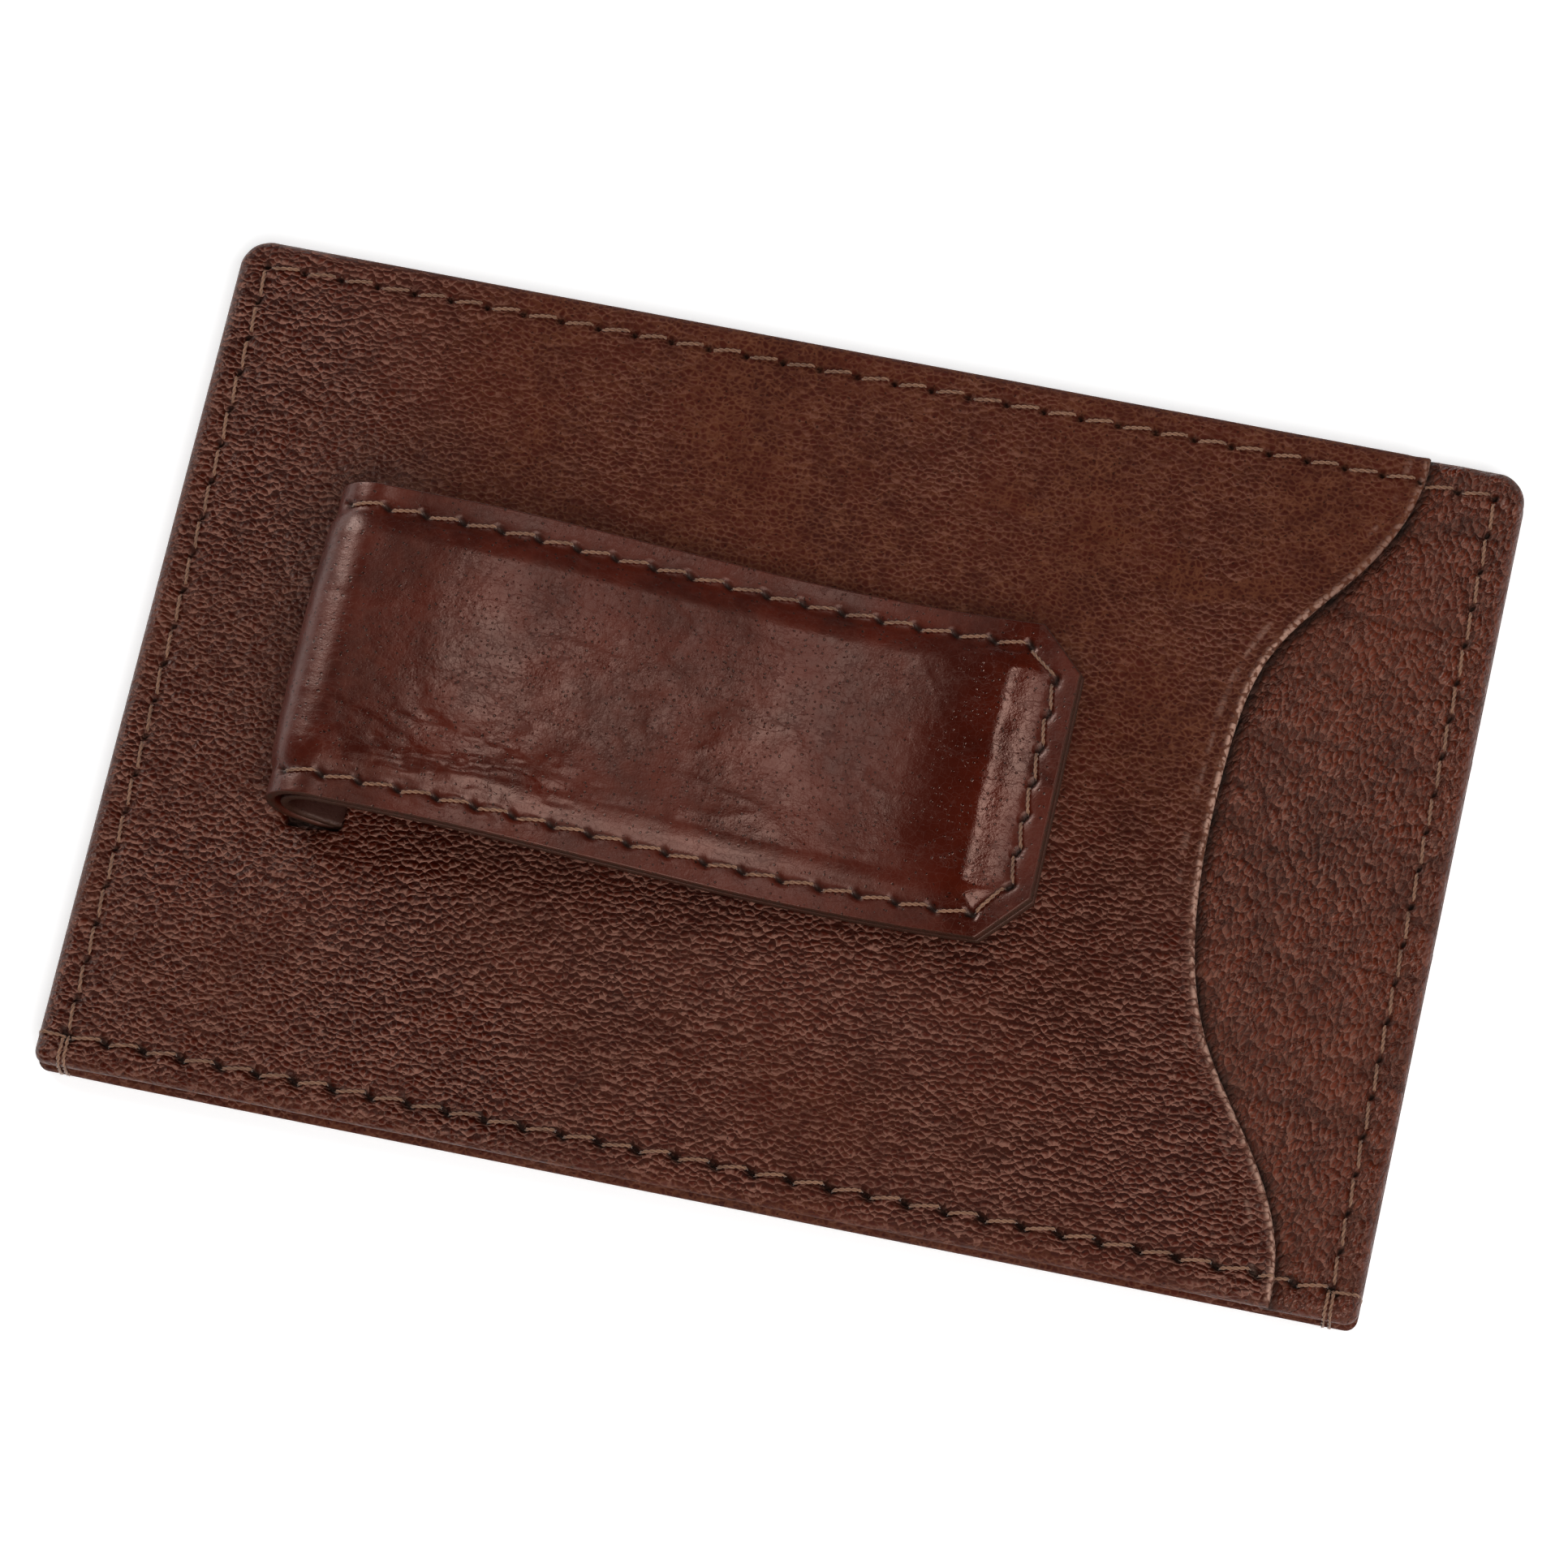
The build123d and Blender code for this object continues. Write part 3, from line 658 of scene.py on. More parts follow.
def front_sheet(name, node, low, high, seed):
    """One leather layer of the front, whose outer face looks down at the floor."""
    turned = high == CLOSED
    tucked_in = low > MOUTH
    xs = grid_lines(-EDGE, EDGE, 0.4, ROLL_R, ROLL_R, 7)
    ys = grid_lines(low, high, 0.4, 0.9, 0.9 if turned else 0.25, 7)
    inset = corner_setback if turned or not tucked_in else (lambda v: 0 * v)
    x, y = outline_grid(xs, ys, lambda v: -EDGE + inset(v), lambda v: EDGE - inset(v))
    edge = np.maximum(edge_distance(x, y), 0)
    ends = np.maximum(np.minimum(y - low, high - y), 0)
    channel, cut = case_seams(x, y, FRONT_CHANNEL)
    face = 0.06 + 0.04 * cloud(x, y, 8, seed) + channel + 0.25 * cut
    if tucked_in:
        face += SLOT_STEP * (1 - ramp(y, low, low + 3.5))
    folded = edge_fade(edge)
    inner = (face + SLOT_LEATHER) * (1 - folded) + front_roll_top(x, y) * folded
    if not turned:
        cut_end = 1 - ramp(high - y, 0, 2.0)
        inner = inner * (1 - cut_end) + (face + SLOT_LEATHER) * cut_end
    radius = 0.5 if turned or not tucked_in else 0.2
    below, over = close_sheet(x, y, face, inner, [(edge, ROLL_R * 0.6), (ends, radius * 0.5)])
    # Painted shade in the needle cuts and along the seam's channel.
    pit = cut + 0.08 * channel / FRONT_CHANNEL
    raw = 0 * y
    if tucked_in:
        # Painted shadow along the line where the neighbouring layer's edge lies on this one.
        pit += 0.7 * bump(y, low + SLOT_LAP, 0.3)
    if not turned:
        raw = 0.6 * (1 - ramp(high - y, 0.1, 0.35))
    worn = 0.3 + 0.5 * cloud(x, y, 9, seed + 5) + 0.5 * bump(edge, 0, 0.45)
    gloss = 0.4 + 0.4 * cloud(x, y, 8, seed + 9)
    values = {"worn": worn, "gloss": gloss, "pit": pit, "raw": raw}
    values = {key: value[::-1] for key, value in values.items()}
    return case_leather(name, node, "front_leather", below[::-1], over[::-1], **values)


def build_front():
    """The side that lies on the floor: two card slots over the full-size front panel."""
    low_slot, high_slot = SLOT_EDGES
    return [
        front_sheet("lower_slot_leather", "front_lower_slot_panel", MOUTH, low_slot, 101),
        front_sheet("upper_slot_leather", "front_upper_slot_panel", low_slot - SLOT_LAP, high_slot, 111),
        front_sheet("front_panel_leather", "front_base_panel", high_slot - SLOT_LAP, CLOSED, 121),
    ]


def plain_sheet(name, low, high, step, waviness, seed):
    """A thin flat layer between two corners, with slightly uneven edges and faces."""
    xs = np.linspace(low[0], high[0], int((high[0] - low[0]) / step) + 2)
    ys = np.linspace(low[1], high[1], int((high[1] - low[1]) / step) + 2)
    x, y = np.meshgrid(xs, ys)
    edge = np.minimum(np.minimum(x - low[0], high[0] - x), np.minimum(y - low[1], high[1] - y))
    x += waviness * noise(x, y, 1.3, seed) * (1 - ramp(edge, 0, 2))
    y += waviness * noise(x, y, 1.1, seed + 1) * (1 - ramp(edge, 0, 2))
    lift = waviness * 0.4 * noise(x, y, 3, seed + 2)
    over, below = close_sheet(x, y, high[2] + lift, low[2] + lift, [(edge, 0.12)])
    return shell(name, over, below, {"flat": (over, below)}, 2)


def build_hems():
    """Raw ends of the side hems, inside both ends of the mouth."""
    pieces = []
    for name, side in (("left_hem", -1), ("right_hem", 1)):
        outer = side * (EDGE - HEM_ENDS[0])
        inner = side * (EDGE - HEM_ENDS[1])
        low = np.array([min(outer, inner), MOUTH + 0.45, front_roll_top(inner, MOUTH) + 0.03])
        high = np.array([max(outer, inner), CLOSED - 6, back_roll_under(inner, MOUTH) - 0.03])
        piece = plain_sheet(name, low, high, 0.45, 0.12, 131 + side)
        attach(piece, "case")
        pieces.append(piece)
    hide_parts("mouth_tape")
    return pieces


# ---- the clip's leather


def bend_path():
    """Side view of the steel's outer face, from the arm's tip, round the bend and into the slit."""
    top = HINGE[2] + BEND_R
    hump_x = HINGE[0] + HUMP_FLAT
    flat = [(HINGE[0], top)]
    angles = np.linspace(0, ARM_SLOPE, 40)
    hump = [(hump_x + HUMP_R * math.sin(a), top - HUMP_R * (1 - math.cos(a))) for a in angles]
    drop = top - CONTACT_Z - (HUMP_R + FLARE_R) * (1 - math.cos(ARM_SLOPE))
    last = hump[-1]
    foot = (last[0] + drop / math.tan(ARM_SLOPE), last[1] - drop)
    turns = np.linspace(-ARM_SLOPE, 2 * ARM_SLOPE, 120)
    centre = (foot[0] + FLARE_R * math.sin(ARM_SLOPE), foot[1] + FLARE_R * math.cos(ARM_SLOPE))
    flare = [(centre[0] + FLARE_R * math.sin(a), centre[1] - FLARE_R * math.cos(a)) for a in turns]
    arm = np.array(flat + hump + flare)
    tip_z = np.interp(CLIP_TIP, arm[:, 0], arm[:, 1])
    arm = np.concatenate([arm[arm[:, 0] < CLIP_TIP - 0.01], [(CLIP_TIP, tip_z)]])[::-1]
    sweep = np.linspace(math.pi / 2, math.pi / 2 + BEND_SWEEP, 80)[1:]
    ring = np.stack([HINGE[0] + BEND_R * np.cos(sweep), HINGE[2] + BEND_R * np.sin(sweep)], -1)
    dive = math.pi - BEND_SWEEP
    start = ring[-1]
    corner_top = LEG_Z + LEG_CORNER_R * (1 - math.cos(dive))
    reach = (start[1] - corner_top) / math.tan(dive)
    turn = np.linspace(dive, 0, 20)
    corner_x = start[0] + reach + LEG_CORNER_R * math.sin(dive)
    leg = [(corner_x - LEG_CORNER_R * math.sin(a), LEG_Z + LEG_CORNER_R * (1 - math.cos(a))) for a in turn]
    leg.append((LEG_STOP, LEG_Z))
    return np.concatenate([arm, ring, np.array(leg)])


def resample(path, step=0.05):
    """Evenly spaced points of a path, their outward normals, and the length up to each."""
    lengths = np.concatenate([[0], np.cumsum(np.linalg.norm(np.diff(path, axis=0), axis=1))])
    travelled = np.arange(0, lengths[-1], step)
    x = np.interp(travelled, lengths, path[:, 0])
    z = np.interp(travelled, lengths, path[:, 1])
    dx = np.gradient(x)
    dz = np.gradient(z)
    size = np.hypot(dx, dz)
    kernel = np.ones(15) / 15
    nx = np.convolve(np.pad(dz / size, 7, "edge"), kernel, "valid")
    nz = np.convolve(np.pad(-dx / size, 7, "edge"), kernel, "valid")
    return travelled, x, z, nx, nz


BAND_S, BAND_X, BAND_Z, BAND_NX, BAND_NZ = resample(bend_path())
BAND_LENGTH = BAND_S[-1]
BEND_START = BAND_S[np.argmax(BAND_X <= HINGE[0])]
BEND_END = BEND_START + BEND_R * BEND_SWEEP


def band_point(s, y, offset):
    """A point of the clip: s along the steel from the tip, and offset outwards from its outer face."""
    x = np.interp(s, BAND_S, BAND_X) + offset * np.interp(s, BAND_S, BAND_NX)
    z = np.interp(s, BAND_S, BAND_Z) + offset * np.interp(s, BAND_S, BAND_NZ)
    return points_of(x, y + CLIP_MIDDLE, z)


def tip_setback(s):
    """How far the chamfered tip sets the long edges in."""
    return np.clip(TIP_CHAMFER - s, 0, TIP_CHAMFER)


def clip_distance(s, y):
    """Distance from the clip leather's cut edge."""
    side = CLIP_HALF - np.abs(y)
    chamfer = (s + side - TIP_CHAMFER) / math.sqrt(2)
    return np.maximum(np.minimum(np.minimum(side, s), chamfer), 0)


def clip_rows():
    """Needle holes of the clip's stitching, on its flat plan, as separate straight rows round the tip."""
    side = CLIP_HALF - CLIP_SEAM
    near = TIP_CHAMFER - (2 - math.sqrt(2)) * CLIP_SEAM + CLIP_SEAM
    far = BEND_START + ROUND_THE_BEND
    tip_y = side - (near - CLIP_SEAM)
    turns = [(far, side), (near, side), (CLIP_SEAM, tip_y), (CLIP_SEAM, -tip_y), (near, -side), (far, -side)]
    return [needle_holes(*row) for row in zip(turns, turns[1:], (18, 1, 6, 1, 18))]


CLIP_ROWS = clip_rows()
CLIP_SLANT = 30


def clip_seams(s, y):
    """Channel and needle cuts of the clip's row."""
    rows = [(holes, CLIP_SLANT, CLIP_CUT) for holes in CLIP_ROWS]
    return all_seams(s, y, rows, CLIP_CHANNEL)


PLATEAU = 1.2
RIM = 0.4
SHOULDER = (2.1, 4.6)
SIDE_SHOULDER = 3.9
CLIP_INSIDE = -STEEL - 0.66
CUT_ROLL = 0.16
STEEL_ROLL = 0.1


def clip_padding(s, y):
    """0 on the stitched rim, 1 on the padded middle, with a longer slope towards the tip."""
    side = CLIP_HALF - np.abs(y)
    beside = ramp(side, SHOULDER[0], SIDE_SHOULDER)
    end = ramp(s, SHOULDER[0] + 0.2, SHOULDER[1] + 1.2)
    corner = ramp(clip_distance(s, y), SHOULDER[0], SHOULDER[1])
    return np.minimum(np.minimum(beside, end), corner**0.6)


def clip_top(s, y, with_cuts=True):
    """Offset of the clip leather's outer face: a stitched rim round a padded middle."""
    edge = clip_distance(s, y)
    bend = ramp(s, BEND_START - 1.5, BEND_START + 2.5)
    into_slit = ramp(s, BEND_END - 2.0, BEND_END + 1.5)
    rim = RIM + 0.3 * bend
    padded = clip_padding(s, y)
    crown = 0.1 * ramp(edge, SHOULDER[1], 9)
    middle = PLATEAU - 0.1 + crown
    near_tip = -0.12 * bump(s, 10, 3.5) + 0.1 * bump(s, 6, 1.6)
    offset = rim + (middle + near_tip * (1 - bend) - rim) * padded
    offset += 0.05 * cloud(s, y, 6, 151) * padded
    wrinkled = bump(y, -8.7, 3.2) * bump(s, BEND_START - 10, 9)
    offset -= 0.15 * wrinkled * creases(s * 0.6, y * 1.5, 2.2, 5.0, 153)
    offset -= 0.03 * creases(s * 0.5, y, 4.5, 9.0, 157) * padded
    offset -= 0.05 * bump(edge, 2.3, 0.5)
    offset = offset * (1 - into_slit) + 0.6 * into_slit
    channel, cut = clip_seams(s, y)
    offset -= channel
    if with_cuts:
        offset -= CLIP_CUT_DEPTH * cut
    return offset


def band_grid():
    """Plan grid of the clip's leather, along the band and across it."""
    lines = grid_lines(0, BAND_LENGTH, 0.22, 0.2, 0.2, 6)
    across = grid_lines(-CLIP_HALF, CLIP_HALF, 0.2, 0.2, 0.2, 6)
    s, y = np.meshgrid(lines, across, indexing="ij")
    y = y * (CLIP_HALF - tip_setback(s)) / CLIP_HALF
    return s, y


def band_shell(name, slot, s, y, edge, radius, outer, inner, coarse, **values):
    """A strip along the clip, between two offsets from the steel's outer face, shaped along the bent steel.
    """
    full = roll(np.maximum(edge, 0), radius)
    middle = (outer + inner) / 2
    over_offset = middle + (outer - middle) * full
    under_offset = middle - (middle - inner) * full
    flat_over = points_of(s, y, over_offset)
    flat_under = points_of(s, y, under_offset)
    over = band_point(s, y, over_offset)
    under = band_point(s, y, under_offset)
    piece = shell(name, over, under, sheet_data(flat_over, flat_under, **values), coarse)
    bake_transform(piece)
    return piece


def build_clip_leather():
    """Outer leather of the clip, and the thinner one inside it."""
    s, y = band_grid()
    edge = clip_distance(s, y)
    border = np.minimum(edge, BAND_LENGTH - s)
    strip = (s, y, border, CUT_ROLL)
    on_rim = 1 - clip_padding(s, y)
    bend = ramp(s, BEND_START - 1.5, BEND_START + 2.5)
    outer = clip_top(s, y)
    inner = clip_top(s, y, False) - 0.85
    inner = inner * (1 - on_rim) + (0.46 - STEEL) * on_rim - 0.42 * on_rim * (1 - bend)
    channel, cut = clip_seams(s, y)
    rubbed = bump(s, BEND_START - 3, 2.5) + 0.8 * bump(s, BEND_START + 2.2, 2.0)
    worn = 0.3 + 0.4 * rubbed * (1 - on_rim) + 0.7 * cloud(s, y, 7, 161) + 0.25 * on_rim
    # Painted dark reflection: a darker, glossier patch on the padded middle before the tip.
    dark = bump(s, 9.5, 3.2) * (1 - on_rim) * ramp(y + 9, -2, 4)
    gloss = 0.35 + 0.35 * cloud(s, y, 8, 167) + 0.65 * bump(s, 5.0, 2.4) - 0.2 * on_rim
    # Painted shade in the needle cuts and along the seam's channel.
    pit = 1.3 * cut + 0.1 * channel / CLIP_CHANNEL
    raw = 1 - ramp(edge, 0.02, 0.15)
    looks = {"worn": worn - dark, "gloss": gloss + 0.3 * dark, "dark": dark, "pit": pit, "raw": raw}
    top = band_shell("clip_outer_leather", "clip_leather", *strip, outer, inner, 3, **looks)
    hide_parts("clip_top_cover", "clip_bend_outer_cover", "clip_lower_cover")
    outer = -STEEL - 0.01 + 0 * s
    inner = CLIP_INSIDE + 0.03 * cloud(s, y, 4, 171)
    worn = 0.3 + 0.4 * cloud(s, y, 6, 173)
    gloss = 0.3 + 0.2 * cloud(s, y, 6, 175)
    # Painted shade: the whole inner leather is darkened through its dark mask, and darker still toward the
    # bend.
    pit = 0.6 * ramp(s, BEND_START - 4, BEND_START + 1)
    raw = 1 - ramp(edge, 0.02, 0.2)
    looks = {"worn": worn, "gloss": gloss, "dark": 1 + 0 * s, "pit": pit, "raw": raw}
    low = band_shell("clip_inner_leather", "clip_leather", *strip, outer, inner, 3, **looks)
    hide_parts("clip_under_cover", "clip_bend_inner_cover")
    return top, low


def build_steel():
    """The spring: one steel strip inside the leather, from near the tip round the bend into the case."""
    low, high = span("clip_upper_leaf")
    half = (high[1] - low[1]) / 2
    first = np.interp(-high[0], -BAND_X[BAND_S < BEND_START], BAND_S[BAND_S < BEND_START])
    lines = grid_lines(first, BAND_LENGTH - 0.3, 0.35, 0.12, 0.12, 4)
    across = grid_lines(-half, half, 0.8, 0.12, 0.12, 4)
    s, y = np.meshgrid(lines, across, indexing="ij")
    edge = np.minimum(half - np.abs(y), np.minimum(s - lines[0], lines[-1] - s))
    piece = band_shell("clip_steel", "spring_steel", s, y, edge, STEEL_ROLL, 0 * s, 0 * s - STEEL, 2)
    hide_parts("clip_upper_leaf", "clip_spring_bend", "clip_lower_leaf")
    return piece


# ---- threads


def thread_piece(name, lines, body, node, seed):
    """Two-ply thread along the given stitches."""
    piece = tubes(name, two_ply(lines, PLY, TWIST, seed), PLY)
    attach(piece, body)
    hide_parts(node)
    return piece


def build_case_threads():
    """The seam round the case, seen on both sides."""
    pieces = []
    names = {
        "mouth": ("back_mouth_thread", "back_mouth_stitching"),
        "closed": ("closed_edge_thread", "top_edge_stitching"),
        "left": ("left_edge_thread", "left_edge_stitching"),
        "right": ("right_edge_thread", "right_edge_stitching"),
    }
    for seed, (row, holes) in enumerate(CASE_ROWS.items()):
        name, node = names[row]
        slant = ROW_SLANT[row]
        lines = row_lines(holes, slant, back_face, 200 + 50 * seed)
        if row != "mouth":
            lines += row_lines(holes, -slant, front_face, 600 + 50 * seed, lift=0.0, dive=-0.3)
        pieces.append(thread_piece(name, lines, "case", node, 11 + seed))
    lines = row_lines(CASE_ROWS["mouth"], 30, front_face, 900, lift=0.0, dive=-0.3)
    pieces.append(thread_piece("front_mouth_thread", lines, "case", "front_mouth_stitching", 19))
    return pieces


def wrap_line(side_way, top, reach, lean):
    """A thread from its hole out over an edge and back under: (along the edge, outwards, height)."""
    t = np.linspace(0, 1, 33)
    flat_part = 0.25
    turn_at = -0.55
    angle = math.pi * np.clip((t - flat_part) / (1 - 2 * flat_part), 0, 1)
    middle = (top + FLOOR_THREAD_Z) / 2
    half = (top - FLOOR_THREAD_Z) / 2
    run = np.minimum(t, 1 - t) / flat_part
    over = (t > flat_part) & (t < 1 - flat_part)
    outward = np.where(over, turn_at + reach * np.sin(angle), -SEAM_INSET + (SEAM_INSET + turn_at) * run)
    z = np.where(over, middle + half * np.cos(angle), np.where(t < 0.5, top, FLOOR_THREAD_Z))
    z -= 0.3 * np.where(t < 0.06, 1, 0)
    return side_way + lean * (t - 0.2), outward, z


def build_tacks():
    """Thread wrapped twice over the mouth edge at each corner, and once over the side edge."""
    pieces = []
    for name, node, side, top in (
        ("left_tack_thread", "mouth_tack_left", -1, RIM_TOP + 0.1),
        ("right_tack_thread", "mouth_tack_right", 1, STRIP_TOP + 0.1),
    ):
        lines = []
        for k, shift in enumerate((-0.2, 0.22)):
            lean = 0.25 * (k - 0.3)
            along, outward, z = wrap_line(side * SEAM_X + shift, top, 0.66, lean)
            lines.append(points_of(along, MOUTH - outward, z))
        along, outward, z = wrap_line(SEAM_LOW - 0.1, top, 0.5, 0.3)
        lines.append(points_of(side * (EDGE + outward), along, z))
        pieces.append(thread_piece(name, lines, "case", node, 23 + side))
    return pieces


def build_clip_thread():
    """The clip's lockstitch row, seen on its upper face and underneath."""
    over = lambda s, y: clip_top(s, y, False)
    below = lambda s, y: CLIP_INSIDE + 0 * s
    lines = []
    seed = 1200
    for holes in CLIP_ROWS:
        lines += row_lines(holes, CLIP_SLANT, over, seed, place=band_point)
        lines += row_lines(holes, -CLIP_SLANT, below, seed + 500, place=band_point, lift=-0.08, dive=-0.3)
        seed += 40
    return thread_piece("clip_thread", lines, "clip_arm", "clip_stitching", 29)


# ---- materials


class Graph:
    """Short calls for building one material's nodes."""

    def __init__(self, name):
        self.material = bpy.data.materials.new(name)
        self.material.use_nodes = True
        self.tree = self.material.node_tree
        self.shader = self.tree.nodes["Principled BSDF"]

    def put(self, socket, value):
        """Links a socket, or sets it to a number or colour."""
        if isinstance(value, bpy.types.NodeSocket):
            self.tree.links.new(value, socket)
        elif isinstance(value, tuple) and len(value) == 3 and socket.type == "RGBA":
            socket.default_value = (*value, 1.0)
        else:
            socket.default_value = value

    def node(self, kind, inputs, **settings):
        """A new node with its settings and inputs."""
        made = self.tree.nodes.new("ShaderNode" + kind)
        for key, value in settings.items():
            setattr(made, key, value)
        for key, value in inputs.items():
            self.put(made.inputs[key], value)
        return made

    def flat(self):
        """Millimetres along and across the leather as it was before bending."""
        return self.node("Attribute", {}, attribute_name="flat").outputs["Vector"]

    def local(self):
        """Millimetres in the part's own frame, for a CAD node."""
        where = self.node("TexCoord", {}).outputs["Object"]
        return self.scaled(where, (1 / MM, 1 / MM, 1 / MM))

    def value(self, name):
        """A value that the mesh carries at its points."""
        return self.node("Attribute", {}, attribute_name=name).outputs["Fac"]

    def math(self, operation, values, clamp=False):
        """Values joined from first to last by one kind of sum, the result kept in 0 to 1 by clamp."""
        total = values[0]
        for k, value in enumerate(values[1:], 2):
            settings = {"operation": operation, "use_clamp": clamp and k == len(values)}
            total = self.node("Math", {0: total, 1: value}, **settings).outputs[0]
        return total

    def times(self, *values, clamp=False):
        """A product."""
        return self.math("MULTIPLY", values, clamp)

    def plus(self, *values, clamp=False):
        """A total."""
        return self.math("ADD", values, clamp)

    def minus(self, *values, clamp=False):
        """The first value less the others."""
        return self.math("SUBTRACT", values, clamp)

    def most(self, *values):
        """The greatest value."""
        return self.math("MAXIMUM", values)

    def surface(self, **inputs):
        """Sets inputs of the shader, named like its sockets, and gives the material back."""
        for name, value in inputs.items():
            words = [word if word == "IOR" else word.capitalize() for word in name.split("_")]
            self.put(self.shader.inputs[" ".join(words)], value)
        return self.material

    def scaled(self, vector, scale):
        """A vector times three numbers."""
        return self.node("VectorMath", {0: vector, 1: scale}, operation="MULTIPLY").outputs[0]

    def turned(self, vector, degrees):
        """A vector turned about Z."""
        inputs = {"Vector": vector, "Angle": math.radians(degrees)}
        return self.node("VectorRotate", inputs, rotation_type="Z_AXIS").outputs["Vector"]

    def warped(self, vector, size, amount):
        """A vector pushed about by noise."""
        push = self.node("TexNoise", {"Vector": vector, "Scale": 1 / size, "Detail": 2.0}).outputs["Color"]
        centred = self.node("VectorMath", {0: push, 1: (0.5, 0.5, 0.5)}, operation="SUBTRACT").outputs[0]
        moved = self.scaled(centred, (2 * amount, 2 * amount, 2 * amount))
        return self.node("VectorMath", {0: vector, 1: moved}, operation="ADD").outputs[0]

    def noise(self, vector, size, detail=3.0, rough=0.55):
        """Noise from 0 to 1."""
        inputs = {"Vector": vector, "Scale": 1 / size, "Detail": detail, "Roughness": rough}
        return self.node("TexNoise", inputs).outputs["Fac"]

    def cells(self, vector, size, feature="F1", randomness=0.9, output="Distance"):
        """A pattern of cells: distance to the nearest middle or edge, or where that middle is."""
        inputs = {"Vector": vector, "Scale": 1 / size, "Randomness": randomness}
        return self.node("TexVoronoi", inputs, feature=feature).outputs[output]

    def crack(self, vector, size, width):
        """Thin wandering lines, 1 along each line."""
        field = self.noise(vector, size, 4.0, 0.6)
        off = self.node("Math", {0: self.minus(field, 0.5)}, operation="ABSOLUTE").outputs[0]
        return self.step(off, width, width * 0.1)

    def step(self, value, start, end, low=0.0, high=1.0):
        """A smooth step of a value from low to high."""
        inputs = {"Value": value, "From Min": start, "From Max": end, "To Min": low, "To Max": high}
        return self.node("MapRange", inputs, interpolation_type="SMOOTHSTEP").outputs["Result"]

    def mix(self, factor, a, b):
        """One colour turning into another."""
        made = self.node("Mix", {"Factor": factor}, data_type="RGBA")
        self.put(made.inputs[6], a)
        self.put(made.inputs[7], b)
        return made.outputs[2]

    def relief(self, height, depth):
        """A bump of the given depth in millimetres."""
        inputs = {"Height": height, "Distance": depth * MM, "Strength": 1.0}
        return self.node("Bump", inputs).outputs["Normal"]


# Colour of the painted shade in needle cuts, slits, grooves and creases.
HOLE_SHADE = (0.002, 0.0006, 0.0003)


